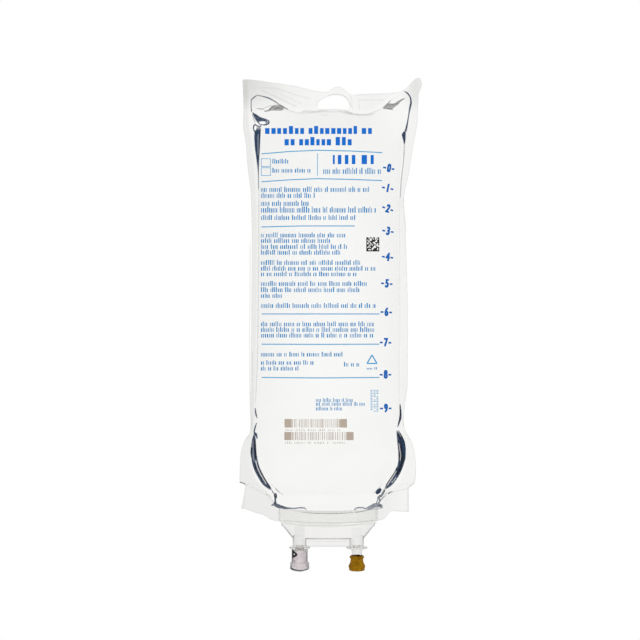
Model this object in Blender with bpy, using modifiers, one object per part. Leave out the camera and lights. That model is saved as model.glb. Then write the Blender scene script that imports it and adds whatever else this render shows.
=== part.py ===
# One-litre IV fluid bag, hung by the slot in its top weld.
# Metres, +Z up, printed face to -Y, origin at the middle of the hanger slot.
# A film of fixed flat width bows out over the solution, so a fatter bag is a narrower one:
# the outline and the thickness both follow from one bow angle along the height.
import math
import bmesh
import bpy
import numpy as np

# The welded film
chamberFlatHalf = 0.0625      # half the flat width between the two side seams
sealWidth = 0.0070            # flat width of the welded strip beside each seam
filmThickness = 0.00035
fitGap = 0.0003               # clearance between pieces that touch
centreLine = -0.0041          # the slot sits this far to the right of the bag's middle
chamberTop = -0.0075          # height of the top seam under the slot
chamberHeight = 0.3138        # top seam to the upper edge of the port housing
topRun = 0.0155               # how far below the top seam the film reaches its full bow
bottomRun = 0.0340            # how far above the lower seam the film starts to close
cornerRise = 0.0278           # height of the slanted lower corners
cornerHalf = 0.0427           # half the chamber's width where those corners end
foldDepth = 0.0048            # how far the lower wings stand in front of their flaps
foldDrop = 0.0024             # height of the step under a wing's fold
flapHeight = 0.0190           # from a wing's fold down to its flap's lower edge
cornerTwist = 0.0117          # how far the upper right corner turns forward

# The hanger slot and the tab of film over it
slotWidth = 0.0250
slotHeight = 0.0107
slotCornerRadius = 0.0019

# The port housing
boatHalfLength = 0.0388
boatHalfDepth = 0.0073
boatTipHalfDepth = 0.0004
boatFullness = 2.6            # above 2, the boat stays deep further towards its tips
boatHeight = 0.0098
boatRibDepth = 0.0004
boatRibCount = 3
boatArch = 0.0032             # how far the boat's tips stand above its middle
keelInset = 0.0006            # step in from the boat to the keel below it, at the tips
keelHalfDepth = 0.0056        # half depth of the keel under the boat's middle
keelLowDepth = 0.0050         # and at its lower edge
keelDrop = 0.0107             # boat to the keel's lower edge
portSpacing = 0.0449
tubeRadius = 0.0053
boreRadius = 0.0033
spigotRadius = 0.0040
spigotBoreRadius = 0.0028
boatToFlange = 0.0270         # upper face of the boat to the upper face of the flanges
flangeRadius = 0.0082
flangeThickness = 0.0013
spigotLength = 0.0142         # under face of the flange to the tip
spigotRootLength = 0.0032
spigotRootRadius = 0.0048     # medication port only, where the spigot leaves its flange
sheetThickness = 0.0008
diaphragmThickness = 0.0006
diaphragmRimHeight = 0.0021
diaphragmRimWidth = 0.0009

# The protector over the set port
capRadius = 0.0063
capWall = 0.0008
capGripHeight = 0.0023        # ring inside the mouth that holds the spigot
capFootRadius = 0.0075
capFootHeight = 0.0048
capFloorThickness = 0.0010
capTipRoom = 0.0010           # spigot tip to the cap's floor

# The rubber stopper over the medication port
stopperMouthRadius = 0.0057
stopperWaistRadius = 0.0050
stopperBulgeRadius = 0.0066
stopperBulgePlace = 1.9       # above 1, the bulge sits lower
stopperFootSwell = 0.72       # share of the bulge that is left at the foot
stopperTopBelowFlange = 0.0056
stopperCoverLength = 0.0032   # spigot tip to the stopper's lower end
stopperPlugLength = 0.0053
stopperMouthRimHeight = 0.0021

# Bow angle of the film, from the top seam (0) to the port housing (1)
bowAngles = ((0.0, 0.20), (0.085, 0.62), (0.14, 0.73), (0.22, 0.84), (0.335, 0.88),
             (0.495, 0.86), (0.68, 0.81), (0.80, 0.75), (0.865, 0.50), (0.90, 0.44), (1.0, 0.40))

# How much of each welded strip's width faces front, from the top seam (0) to the port housing (1)
sealShownLeft = ((-0.08, 0.729), (0, 0.629), (0.05, 0.814), (0.12, 0.886), (0.22, 0.729), (0.5, 0.743),
                 (0.71, 0.69), (0.771, 0.6), (0.795, 0.57), (0.804, 0.644), (0.812, 0.845),
                 (0.82, 1.1), (0.837, 1.256), (0.85, 1.3), (0.884, 1.275), (0.916, 1.27),
                 (0.925, 1.23), (0.934, 0.67), (0.968, 0.844), (1, 1.1))
sealShownRight = ((-0.08, 1.357), (-0.062, 1.514), (-0.035, 1.157), (0.05, 1.186), (0.14, 1),
                  (0.232, 0.514), (0.28, 0.8), (0.5, 1.043), (0.68, 0.9), (0.74, 0.5), (0.776, 0.33),
                  (0.789, 0.4), (0.812, 0.83), (0.835, 1.144), (0.862, 1.175), (0.898, 1.161),
                  (0.93, 0.935), (0.938, 0.37), (1, 0.348))

# Edges that run across the bag: place and height over the slot, both in half widths of the film
topEdge = ((-1.05, 0.2633), (-0.89, 0.2561), (-0.665, 0.2273), (-0.326, 0.1727), (-0.182, 0.1333),
           (-0.05, 0.1165), (0, 0.1153), (0.036, 0.1458), (0.07, 0.165), (0.098, 0.174),
           (0.132, 0.1718), (0.166, 0.1525), (0.206, 0.1186), (0.24, 0.0927), (0.28, 0.0814),
           (0.353, 0.085), (0.79, 0.1079), (0.862, 0.1381), (1, 0.247), (1.05, 0.235))
topSeam = ((-0.97, 0.0129), (-0.9, 0.0892), (-0.8, 0.0906), (-0.66, 0.0403), (-0.47, -0.0806),
           (-0.32, -0.1223), (-0.03, -0.1079), (0.12, -0.1079), (0.26, -0.1353), (0.41, -0.141),
           (0.6, -0.0705), (0.7, 0.0187), (0.84, 0.0921), (0.97, 0.0921))
bottomSeam = ((-1, 0.338), (-0.89, 0.296), (-0.736, 0.2147), (-0.685, 0.19), (-0.62, 0.105),
              (-0.574, 0.062), (-0.405, 0.03), (-0.258, 0.012), (0, 0), (0.258, 0.012), (0.405, 0.03),
              (0.574, 0.062), (0.595, 0.11), (0.625, 0.17), (0.68, 0.215), (0.793, 0.245),
              (0.911, 0.277), (0.967, 0.316), (1, 0.33))
bottomEdge = ((-0.98, 0.0317), (-0.81, -0.0187), (-0.73, -0.0388), (-0.657, -0.0892), (-0.56, -0.1137),
              (-0.03, -0.164), (0.54, -0.105), (0.63, -0.0863), (0.71, 0.0043), (0.9, -0.0058))
filmHalf = chamberFlatHalf + sealWidth

# How finely the film is divided
chamberColumns = 20
chamberRows = 23
sealColumns = 2
topRows = 3
rimInset = 0.22               # how far the solution's rim stands in from the seam, in grid cells
rimThinning = 0.7             # share of the room that the solution fills at its rim
turnedSteps = 32

bottomLine = chamberTop - chamberHeight
boatTop = bottomLine - fitGap * 2
boatBottom = boatTop - boatHeight
flangeTop = boatTop - boatToFlange
flangeBottom = flangeTop - flangeThickness
spigotTip = flangeBottom - spigotLength
shoulder = flangeBottom       # where the wide bore steps down to the spigot's bore
diaphragmTop = shoulder + fitGap + diaphragmRimHeight
portCentres = (centreLine - portSpacing / 2, centreLine + portSpacing / 2)


def smoothThrough(stations, at):
    """Value at a place between stations, on a smooth curve through them that never overshoots"""
    places, values = np.array(stations, dtype=float).T
    runs = np.diff(places)
    secants = np.diff(values) / runs
    product = secants[:-1] * secants[1:]
    total = np.where(product > 0, secants[:-1] + secants[1:], 1.0)
    slopes = np.concatenate(([0.0], np.where(product > 0, 2 * product / total, 0.0), [0.0]))
    at = np.clip(at, places[0], places[-1])
    left = np.clip(np.searchsorted(places, at, side="right") - 1, 0, len(runs) - 1)
    share = (at - places[left]) / runs[left]
    rise = values[left + 1] - values[left]
    bend = share * share * (3 - 2 * share)
    startPull = share * (1 - share) ** 2 * slopes[left] * runs[left]
    endPull = share * share * (share - 1) * slopes[left + 1] * runs[left]
    return values[left] + rise * bend + startPull + endPull


def bowAngleAt(z):
    return smoothThrough(bowAngles, (chamberTop - z) / chamberHeight)


def bowedHalf(z):
    """Half the width that a film of fixed length still spans when it bows by its angle"""
    angle = bowAngleAt(z)
    return chamberFlatHalf * np.sin(angle) / angle


def seamHalf(z):
    """The side seams follow the bowed width, then round the slanted lower corners"""
    drop = np.clip((bottomLine + cornerRise * 1.5 - z) / cornerRise, 0, 1)
    corner = (1 - drop ** 1.6) ** (1 / 1.6)
    return cornerHalf + (bowedHalf(z) - cornerHalf) * corner


def acrossEdge(stations, x, base=0.0):
    return base + filmHalf * smoothThrough(stations, x / filmHalf)


def outerHalf(z, stations):
    return bowedHalf(z) + sealWidth * smoothThrough(stations, (chamberTop - z) / chamberHeight)


def closing(distance, run):
    """Quarter ellipse: nothing at the seam, full after the run"""
    return np.sqrt(1 - (1 - np.clip(distance / run, 0, 1)) ** 2)


def boatHalfAt(x):
    """Half depth of the boat, a full curve from its middle to its tips"""
    share = np.clip(np.abs(x) / boatHalfLength, 0, 1)
    return boatTipHalfDepth + (boatHalfDepth - boatTipHalfDepth) * (1 - share ** boatFullness)


def halfRoom(x, z):
    """Half the room between the two films: the bowed lens, closed at the seams, round the boat"""
    angle = bowAngleAt(z)
    reach = seamHalf(z)
    side = np.clip(x / reach, -1, 1)
    tilt = np.arcsin(side * np.sin(angle))
    lens = np.maximum(np.cos(tilt) - np.cos(angle), 0) * reach / np.sin(angle)
    lens *= closing(acrossEdge(topSeam, x) - z, topRun)
    lens *= closing(z - acrossEdge(bottomSeam, x, bottomLine), bottomRun)
    overBoat = np.where(np.abs(x) <= boatHalfLength, boatHalfAt(x) + fitGap / 2, 0.0)
    above = np.clip((z - bottomLine) / bottomRun, 0, 1)
    overBoat = overBoat * (1 - above) ** 2
    return fitGap / 2 + (lens ** 3 + overBoat ** 3) ** (1 / 3)


def leaning(x, z):
    """How far the welded film stands behind the middle plane: turned strips, wings and a corner"""
    shown = np.where(x < 0, outerHalf(z, sealShownLeft), outerHalf(z, sealShownRight)) - bowedHalf(z)
    turned = np.sqrt(np.clip(sealWidth ** 2 - shown ** 2, 0, None))
    beyond = np.clip((np.abs(x) - seamHalf(z)) / sealWidth, 0, 1)
    lower = np.clip((z - bottomLine) / cornerRise, 0, 1)
    back = turned * beyond * lower * 0.6
    overFold = z - acrossEdge(bottomSeam, x, bottomLine)
    wingReach = np.clip((np.abs(x) - cornerHalf) / (filmHalf - cornerHalf), 0, 1)
    wing = np.where(overFold >= -1e-6, np.exp(-np.clip(overFold, 0, 1) / cornerRise), 0.0)
    forward = foldDepth * wing * np.sqrt(wingReach)
    twist = np.clip((x - filmHalf * 0.7) / (filmHalf * 0.3), 0, 1)
    twist = twist * np.clip((z - chamberTop + slotHeight) / (slotHeight * 2), 0, 1)
    return back - forward - cornerTwist * twist * twist


def spacedColumns():
    """Column places: zone (-1 left strip, 0 chamber, 1 right strip) and share across the zone"""
    strip = [(-1, i / sealColumns) for i in range(sealColumns)]
    chamber = [(0, i / chamberColumns) for i in range(chamberColumns)]
    return strip + chamber + [(1, i / sealColumns) for i in range(sealColumns + 1)]


def spacedRows():
    """Row places from top to bottom: zone (-1 top weld, 0 chamber, 1 bottom weld) and share"""
    weld = [(-1, i / topRows) for i in range(topRows)]
    chamber = []
    for i in range(chamberRows):
        even = i / chamberRows
        chamber.append((0, (even + 0.5 - 0.5 * math.cos(math.pi * even)) / 2))
    return weld + chamber + [(1, 0.0), (1, foldDrop / flapHeight), (1, 0.55), (1, 1.0)]


def filmGrid():
    """Places (rows, columns) where grid lines meet, so that the seams run along grid lines"""
    columnZone, columnShare = np.array(spacedColumns()).T
    rowZone, rowShare = np.array(spacedRows()).T[:, :, None]
    x = np.zeros((len(rowZone), len(columnZone)))
    z = np.linspace(0, bottomLine, len(rowZone))[:, None] + x
    for _ in range(40):
        seam = seamHalf(z)
        angle = bowAngleAt(z)
        bowed = seam * np.sin((2 * columnShare - 1) * angle) / np.sin(angle)
        left = -outerHalf(z, sealShownLeft) * (1 - columnShare) - seam * columnShare
        right = seam * (1 - columnShare) + outerHalf(z, sealShownRight) * columnShare
        x = np.where(columnZone < 0, left, np.where(columnZone > 0, right, bowed))
        high, low = acrossEdge(topEdge, x), acrossEdge(bottomEdge, x, bottomLine)
        seamHigh, seamLow = acrossEdge(topSeam, x), acrossEdge(bottomSeam, x, bottomLine)
        weld = high + (seamHigh - high) * rowShare
        chamber = seamHigh + (seamLow - seamHigh) * rowShare
        foot = seamLow + (low - seamLow) * rowShare
        z = np.where(rowZone < 0, weld, np.where(rowZone > 0, foot, chamber))
    return x, z


def facePoints(side):
    """Inner face of one film as rows of points; side is -1 in front and 1 behind"""
    x, z = filmGrid()
    y = leaning(x, z) + side * halfRoom(x, z)
    return np.stack((x + centreLine, y, z), axis=2)


def material(name, colour, roughness, transmission=0.0):
    made = bpy.data.materials.new(name)
    made.use_nodes = True
    shader = made.node_tree.nodes["Principled BSDF"]
    shader.inputs["Base Color"].default_value = (*colour, 1.0)
    shader.inputs["Roughness"].default_value = roughness
    shader.inputs["Metallic"].default_value = 0.0
    shader.inputs["Transmission Weight"].default_value = transmission
    made.diffuse_color = (*colour, 1.0)
    return made


def place(name, mesh, collection, finish=None):
    piece = bpy.data.objects.new(name, mesh)
    collection.objects.link(piece)
    if finish:
        mesh.materials.append(finish)
    return piece


def shadeRound(piece, angle=35):
    piece.data.shade_smooth()
    piece.data.set_sharp_from_angle(angle=math.radians(angle))


def gridSurface(points, flip):
    """A grid of triangles through rows of points, facing -Y unless flipped"""
    rows, columns = points.shape[:2]
    sheet = bmesh.new()
    bmesh.ops.create_grid(sheet, x_segments=columns - 1, y_segments=rows - 1, size=0.5)
    for vert, point in zip(sheet.verts, points[::-1].reshape(-1, 3)):
        vert.co = point
    if flip:
        bmesh.ops.reverse_faces(sheet, faces=sheet.faces)
    bmesh.ops.triangulate(sheet, faces=sheet.faces, quad_method="FIXED")
    return sheet


def finished(mesh, name):
    data = bpy.data.meshes.new(name)
    mesh.to_mesh(data)
    mesh.free()
    return data


def cutBy(piece, cutter, name, operation="DIFFERENCE"):
    boolean = piece.modifiers.new(name, "BOOLEAN")
    boolean.operation = operation
    boolean.object = cutter


def film(name, side, slot, finish, collection):
    """One welded film: its inner face, thickened outwards, with the hanger slot cut through it"""
    piece = place(name, finished(gridSurface(facePoints(side), side > 0), name), collection, finish)
    wall = piece.modifiers.new("wall", "SOLIDIFY")
    wall.thickness = filmThickness
    wall.offset = 1.0
    wall.use_even_offset = True
    cutBy(piece, slot, "hanger slot")
    shadeRound(piece)
    return piece


def slotOutline():
    """Points round the D-shaped slot: flat below with small corners, arched above"""
    half, low, high = slotWidth / 2, -slotHeight / 2, slotHeight / 2
    corner = slotCornerRadius
    points = []
    for turn in range(5):
        angle = math.radians(-90 + turn * 22.5)
        points.append((half - corner + corner * math.cos(angle), low + corner + corner * math.sin(angle)))
    for turn in range(17):
        angle = math.pi * turn / 16
        arch = high - low - corner
        points.append((half * math.cos(angle), low + corner + arch * math.sin(angle) ** 0.8))
    for turn in range(5):
        angle = math.radians(180 + turn * 22.5)
        points.append((corner - half + corner * math.cos(angle), low + corner + corner * math.sin(angle)))
    return points


def outlineSolid(name, points, depth, collection):
    """A flat outline in the XZ plane, given depth along Y, as a closed mesh"""
    curve = bpy.data.curves.new(name, "CURVE")
    curve.dimensions = "2D"
    curve.fill_mode = "BOTH"
    curve.extrude = depth / 2
    line = curve.splines.new("POLY")
    line.points.add(len(points) - 1)
    for point, (x, z) in zip(line.points, points):
        point.co = (x, z, 0.0, 1.0)
    line.use_cyclic_u = True
    drawn = place(name, curve, collection)
    drawn.rotation_euler.x = math.pi / 2
    bpy.context.view_layer.update()
    seen = drawn.evaluated_get(bpy.context.evaluated_depsgraph_get())
    mesh = bpy.data.meshes.new_from_object(seen)
    mesh.transform(drawn.matrix_world)
    bpy.data.objects.remove(drawn)
    solid = bmesh.new()
    solid.from_mesh(mesh)
    bmesh.ops.remove_doubles(solid, verts=solid.verts, dist=0.00001)
    bmesh.ops.recalc_face_normals(solid, faces=solid.faces)
    solid.to_mesh(mesh)
    solid.free()
    return place(name, mesh, collection)


def turned(name, profile, collection, finish=None, centre=0.0):
    """A profile of (radius, height) points, closed on the axis or as a ring, turned about Z"""
    outline = bmesh.new()
    verts = [outline.verts.new((radius, 0.0, height)) for radius, height in profile]
    ring = all(radius > 0 for radius, _ in profile)
    for first, second in zip(verts, verts[1:]):
        outline.edges.new((first, second))
    if ring:
        outline.edges.new((verts[-1], verts[0]))
    piece = place(name, finished(outline, name), collection, finish)
    piece.location.x = centre
    screw = piece.modifiers.new("turn", "SCREW")
    screw.steps = screw.render_steps = turnedSteps
    screw.use_merge_vertices = True
    screw.merge_threshold = 0.00001
    screw.use_smooth_shade = True
    return piece


def solutionFaces():
    """Front and rear face of the solution: the room between the films, less a clearance all round"""
    x, z = filmGrid()
    layers = np.stack((x + centreLine, leaning(x, z), z, halfRoom(x, z)), axis=2)
    layers = layers[topRows:topRows + chamberRows + 1, sealColumns:sealColumns + chamberColumns + 1]
    layers[0] += (layers[1] - layers[0]) * rimInset
    layers[-1] += (layers[-2] - layers[-1]) * rimInset
    layers[:, 0] += (layers[:, 1] - layers[:, 0]) * rimInset
    layers[:, -1] += (layers[:, -2] - layers[:, -1]) * rimInset
    room = layers[:, :, 3] - fitGap * 1.4
    thinned = np.full(room.shape, rimThinning)
    thinned[1:-1, 1:-1] = 1.0
    room = np.maximum(room * thinned, fitGap / 4)
    front, rear = layers[:, :, :3].copy(), layers[:, :, :3].copy()
    front[:, :, 1] -= room
    rear[:, :, 1] += room
    return front, rear


def solution(finish, collection, guides):
    """The solution between the films, with a leg down each port bore to its diaphragm"""
    front, rear = solutionFaces()
    body = gridSurface(front, False)
    back = finished(gridSurface(rear, True), "solution back")
    body.from_mesh(back)
    bpy.data.meshes.remove(back)
    rim = [edge for edge in body.edges if edge.is_boundary]
    bmesh.ops.bridge_loops(body, edges=rim)
    bmesh.ops.recalc_face_normals(body, faces=body.faces)
    piece = place("saline", finished(body, "saline"), collection, finish)
    for number, centre in enumerate(portCentres):
        top = bottomLine + bottomRun * 0.35
        low = diaphragmTop + fitGap
        reach = boreRadius - fitGap
        leg = turned(f"leg {number}", [(0.0, top), (reach, top), (reach, low), (0.0, low)], guides,
                     centre=centre)
        cutBy(piece, leg, f"leg {number}", "UNION")
    shadeRound(piece)
    return piece


def hullRings():
    """Rings of the boat with its sealing ribs, then of the keel: half length, arch, height, half depths"""
    rings = []
    pitch = boatHeight / (boatRibCount * 2 + 1)
    across = np.sin(np.linspace(-1, 1, 25) * math.pi / 2)
    for step in range(boatRibCount * 2 + 2):
        inset = 0.0 if step in (0, boatRibCount * 2 + 1) or step % 2 else boatRibDepth
        depths = np.maximum(boatHalfAt(across * boatHalfLength) - inset, boatTipHalfDepth / 2)
        rings.append((boatHalfLength, boatArch, boatTop - pitch * step, depths))
    keelTopHalf = boatHalfLength - keelInset
    keelLowHalf = portSpacing / 2 + tubeRadius * 0.98
    for step in range(4):
        share = step / 3
        half = keelTopHalf + (keelLowHalf - keelTopHalf) * share
        deep = keelHalfDepth + (keelLowDepth - keelHalfDepth) * share
        full = (1 - np.abs(across) ** (2.4 + share * 2)) ** (1 - share / 2)
        depths = np.maximum(deep * full, boatTipHalfDepth / 2)
        rings.append((half, boatArch * (1 - share), boatBottom - keelDrop * share, depths))
    return across, rings


def boat(name, collection, finish):
    """The weld foot and its keel: arched rings lofted from the boat's section to the two tubes"""
    loops = []
    hull = bmesh.new()
    across, rings = hullRings()
    for half, arch, height, depths in rings:
        xs = across * half + centreLine
        zs = height + arch * across ** 2
        there = [hull.verts.new((x, -y, z)) for x, y, z in zip(xs, depths, zs)]
        back = [hull.verts.new((x, y, z)) for x, y, z in zip(xs[::-1], depths[::-1], zs[::-1])]
        loops.append(there + back)
    for upper, lower in zip(loops, loops[1:]):
        for i in range(len(upper)):
            j = (i + 1) % len(upper)
            hull.faces.new((upper[i], lower[i], lower[j], upper[j]))
    for loop in (loops[0], loops[-1]):
        for i in range(len(across) - 1):
            hull.faces.new((loop[i], loop[i + 1], loop[-i - 2], loop[-i - 1]))
    bmesh.ops.recalc_face_normals(hull, faces=hull.faces)
    return place(name, finished(hull, name), collection, finish)


def thinSheet(collection):
    """The thin moulded sheet between the tubes, from the keel down to the flanges"""
    high = boatBottom - keelDrop + sheetThickness
    low = flangeTop + fitGap * 3
    half = portSpacing / 2
    points = [(-half, high), (-half, low), (half, low), (half, high)]
    shifted = [(x + centreLine, z) for x, z in points]
    return outlineSolid("thin sheet", shifted, sheetThickness, collection)


def portTube(number, centre, root, collection):
    """Outside of one port: tube, flange, tapered root and spigot"""
    top = boatTop - boatHeight * 0.5
    bevel = spigotRadius * 0.1
    profile = [(0.0, top), (tubeRadius, top), (tubeRadius, flangeTop), (flangeRadius - bevel, flangeTop),
               (flangeRadius, flangeTop - bevel), (flangeRadius, flangeBottom + bevel),
               (flangeRadius - bevel, flangeBottom), (root, flangeBottom),
               (spigotRadius, flangeBottom - spigotRootLength), (spigotRadius, spigotTip + bevel),
               (spigotRadius - bevel, spigotTip), (0.0, spigotTip)]
    return turned(f"port tube {number}", profile, collection, centre=centre)


def portBore(number, centre, collection):
    """Cutter for one port: the wide bore, stepped in at the diaphragm's shoulder"""
    over, under = boatTop + boatHeight, spigotTip - boatHeight
    profile = [(0.0, over), (boreRadius, over), (boreRadius, shoulder), (spigotBoreRadius, shoulder),
               (spigotBoreRadius, under), (0.0, under)]
    cutter = turned(f"port bore {number}", profile, collection, centre=centre)
    cutter.rotation_euler.z = math.pi / turnedSteps    # its corners fall between those of the tube
    return cutter


def portHousing(finish, collection, guides):
    piece = boat("port_housing", collection, finish)
    cutBy(piece, thinSheet(guides), "thin sheet", "UNION")
    roots = (spigotRadius, spigotRootRadius)
    for number, (centre, root) in enumerate(zip(portCentres, roots)):
        cutBy(piece, portTube(number, centre, root, guides), f"tube {number}", "UNION")
    for number, centre in enumerate(portCentres):
        cutBy(piece, portBore(number, centre, guides), f"bore {number}")
    shadeRound(piece)
    return piece


def diaphragm(name, centre, finish, collection):
    """Thin disc in a raised rim that stands on the shoulder in the bore"""
    low, high = shoulder + fitGap, diaphragmTop
    rim = boreRadius - fitGap
    well = rim - diaphragmRimWidth
    profile = [(0.0, low + diaphragmThickness), (well, low + diaphragmThickness), (well, high), (rim, high),
               (rim, low), (0.0, low)]
    return turned(name, profile, collection, finish, centre)


def protector(finish, collection):
    """Pull-off cap: a cup with a grip ring in its mouth and a flared foot to hold it by"""
    top = flangeBottom - fitGap
    floor = spigotTip - capTipRoom
    low = floor - capFloorThickness
    bore, grip = capRadius - capWall, spigotRadius + fitGap
    foot = low + capFootHeight
    flare = capFootRadius - capRadius
    profile = [(0.0, floor), (bore - flare, floor), (bore, floor + flare),
               (bore, top - capGripHeight - flare), (grip, top - capGripHeight), (grip, top),
               (capRadius, top), (capRadius, foot + flare), (capFootRadius, foot), (capFootRadius, low),
               (0.0, low)]
    return turned("set_port_protector", profile, collection, finish, portCentres[0])


def stopper(finish, collection):
    """Sleeve stopper: a plug in the bore, a sleeve over the spigot and a rolled rim at its mouth"""
    top = flangeBottom - stopperTopBelowFlange
    low = spigotTip - stopperCoverLength
    tall = top - low
    plug, groove = spigotBoreRadius - fitGap, spigotRadius + fitGap
    seat = spigotTip - fitGap
    plugTop = spigotTip + stopperPlugLength
    rim = stopperMouthRimHeight
    profile = [(0.0, plugTop), (plug * 0.7, plugTop), (plug, plugTop - plug * 0.4), (plug, seat),
               (groove, seat), (groove, top - rim * 0.1), (groove + rim * 0.15, top),
               (stopperMouthRadius - rim * 0.4, top),
               (stopperMouthRadius, top - rim * 0.4), (stopperMouthRadius, top - rim * 0.85)]
    for step in range(9):
        share = step / 8
        swell = math.sin(math.pi * share ** stopperBulgePlace) ** 2
        if share ** stopperBulgePlace > 0.5:
            swell = max(swell, stopperFootSwell)
        radius = stopperWaistRadius + (stopperBulgeRadius - stopperWaistRadius) * swell
        profile.append((radius, top - rim - (tall - rim * 1.2) * share))
    dimple = low + rim * 0.2
    profile += [(stopperWaistRadius * 1.02, low), (stopperWaistRadius * 0.6, low),
                (stopperWaistRadius * 0.5, dimple), (0.0, dimple)]
    return turned("medication_port_stopper", profile, collection, finish, portCentres[1])


def emptyScene():
    for thing in list(bpy.data.objects):
        bpy.data.objects.remove(thing)


def newCollection(name):
    made = bpy.data.collections.new(name)
    bpy.context.scene.collection.children.link(made)
    return made


def build():
    emptyScene()
    parts, guides = newCollection("iv_fluid_bag"), newCollection("cutters")
    filmFinish = material("clear film", (0.93, 0.94, 0.92), 0.25, 0.85)
    solutionFinish = material("clear solution", (0.97, 0.98, 0.99), 0.02, 1.0)
    mouldedFinish = material("clear moulded plastic", (0.86, 0.86, 0.85), 0.3, 0.6)
    rubberFinish = material("amber rubber", (0.42, 0.22, 0.03), 0.45)
    diaphragmFinish = material("diaphragm plastic", (0.82, 0.82, 0.80), 0.4, 0.3)
    slot = outlineSolid("slot cutter", slotOutline(), sealWidth * 6, guides)
    film("front_film", -1, slot, filmFinish, parts)
    film("rear_film", 1, slot, filmFinish, parts)
    solution(solutionFinish, parts, guides)
    portHousing(mouldedFinish, parts, guides)
    diaphragm("set_port_diaphragm", portCentres[0], diaphragmFinish, parts)
    diaphragm("medication_port_diaphragm", portCentres[1], diaphragmFinish, parts)
    protector(mouldedFinish, parts)
    stopper(rubberFinish, parts)
    for guide in guides.objects:
        guide.hide_render = True
        guide.display_type = "WIRE"


build()
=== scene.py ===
import math

import bmesh
import bpy
import numpy as np
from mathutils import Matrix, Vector


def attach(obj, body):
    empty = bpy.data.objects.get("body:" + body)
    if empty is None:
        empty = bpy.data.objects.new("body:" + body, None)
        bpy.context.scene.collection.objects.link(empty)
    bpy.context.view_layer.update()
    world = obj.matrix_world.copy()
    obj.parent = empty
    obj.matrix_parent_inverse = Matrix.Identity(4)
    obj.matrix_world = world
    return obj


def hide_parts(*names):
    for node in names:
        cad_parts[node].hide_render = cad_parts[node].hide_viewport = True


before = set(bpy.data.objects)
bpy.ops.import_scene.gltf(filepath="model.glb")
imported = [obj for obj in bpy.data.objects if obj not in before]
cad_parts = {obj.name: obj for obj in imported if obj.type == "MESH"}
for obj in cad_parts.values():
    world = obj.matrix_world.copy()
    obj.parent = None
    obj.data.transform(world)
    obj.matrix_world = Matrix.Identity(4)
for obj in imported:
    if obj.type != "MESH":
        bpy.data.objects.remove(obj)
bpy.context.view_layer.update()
scene = bpy.context.scene
print("scene: frame loaded,", len(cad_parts), "nodes")

# Sizes of the welded film, as in the part's source
film = {
    "flatHalf": 0.0625, "seal": 0.0070, "thickness": 0.00035, "gap": 0.0003, "centre": -0.0041,
    "top": -0.0075, "height": 0.3138, "topRun": 0.0155, "bottomRun": 0.0340, "cornerRise": 0.0278,
    "foldDepth": 0.0048, "foldDrop": 0.0024, "flap": 0.0190, "cornerTwist": 0.0117,
    "cornerHalf": 0.0427, "cornerStart": 1.5, "cornerFullness": 1.6, "lean": 0.6,
    "twistFrom": 0.7, "twistRun": 0.3, "steepest": 2.5,
    "slotWidth": 0.0250, "slotHeight": 0.0107, "slotCorner": 0.0019, "slotArch": 0.8,
    "columns": 120, "rows": 190, "sealColumns": 10, "topRows": 26, "flapRows": 14, "rounds": 40,
}
port = {
    "boatHalf": 0.0388, "boatDepth": 0.0073, "boatTip": 0.0004, "boatFullness": 2.6,
    "boatHeight": 0.0098, "ribDepth": 0.00015, "ribCount": 3, "arch": 0.0032,
    "keelInset": 0.0006, "keelDepth": 0.0056, "keelLowDepth": 0.0052, "keelDrop": 0.0107,
    "spacing": 0.0449, "tube": 0.0053, "bore": 0.0033,
    "spigot": 0.0040, "spigotBore": 0.0028, "toFlange": 0.0270, "flange": 0.0082,
    "flangeThickness": 0.0013, "spigotLength": 0.0142, "rootLength": 0.0032, "root": 0.0048,
    "sheet": 0.0008, "rim": 0.0021, "rounding": 0.0004, "overlap": 0.98,
    "steps": 64, "columns": 97, "boatRows": 43, "keelRows": 16,
}
filmHalf = film["flatHalf"] + film["seal"]
bottomLine = film["top"] - film["height"]
boatTop = bottomLine - film["gap"] * 2
boatBottom = boatTop - port["boatHeight"]
flangeTop = boatTop - port["toFlange"]
flangeBottom = flangeTop - port["flangeThickness"]
spigotTip = flangeBottom - port["spigotLength"]
portCentres = (film["centre"] - port["spacing"] / 2, film["centre"] + port["spacing"] / 2)

# Stations of the film's outline: bow angle, seam widths shown, and the edges that run across
bowAngles = ((0, 0.20), (0.085, 0.62), (0.14, 0.73), (0.22, 0.84), (0.335, 0.88), (0.495, 0.86),
             (0.68, 0.81), (0.80, 0.75), (0.865, 0.50), (0.90, 0.44), (1, 0.40))
sealShownLeft = ((-0.08, 0.729), (0, 0.629), (0.05, 0.814), (0.12, 0.886), (0.22, 0.729), (0.5, 0.743),
                 (0.71, 0.69), (0.771, 0.6), (0.795, 0.57), (0.804, 0.644), (0.812, 0.845),
                 (0.82, 1.1), (0.837, 1.256), (0.85, 1.3), (0.884, 1.275), (0.916, 1.27),
                 (0.925, 1.23), (0.934, 0.67), (0.968, 0.844), (1, 1.1))
sealShownRight = ((-0.08, 1.357), (-0.062, 1.514), (-0.035, 1.157), (0.05, 1.186), (0.14, 1),
                  (0.232, 0.514), (0.28, 0.8), (0.5, 1.043), (0.68, 0.9), (0.74, 0.5), (0.776, 0.33),
                  (0.789, 0.4), (0.812, 0.83), (0.835, 1.144), (0.862, 1.175), (0.898, 1.161),
                  (0.93, 0.935), (0.938, 0.37), (1, 0.348))
topEdge = ((-1.05, 0.2633), (-0.89, 0.2561), (-0.665, 0.2273), (-0.326, 0.1727), (-0.182, 0.1333),
           (-0.05, 0.1165), (0, 0.1153), (0.036, 0.1458), (0.07, 0.165), (0.098, 0.174),
           (0.132, 0.1718), (0.166, 0.1525), (0.206, 0.1186), (0.24, 0.0927), (0.28, 0.0814),
           (0.353, 0.085), (0.79, 0.1079), (0.862, 0.1381), (1, 0.247), (1.05, 0.235))
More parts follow.
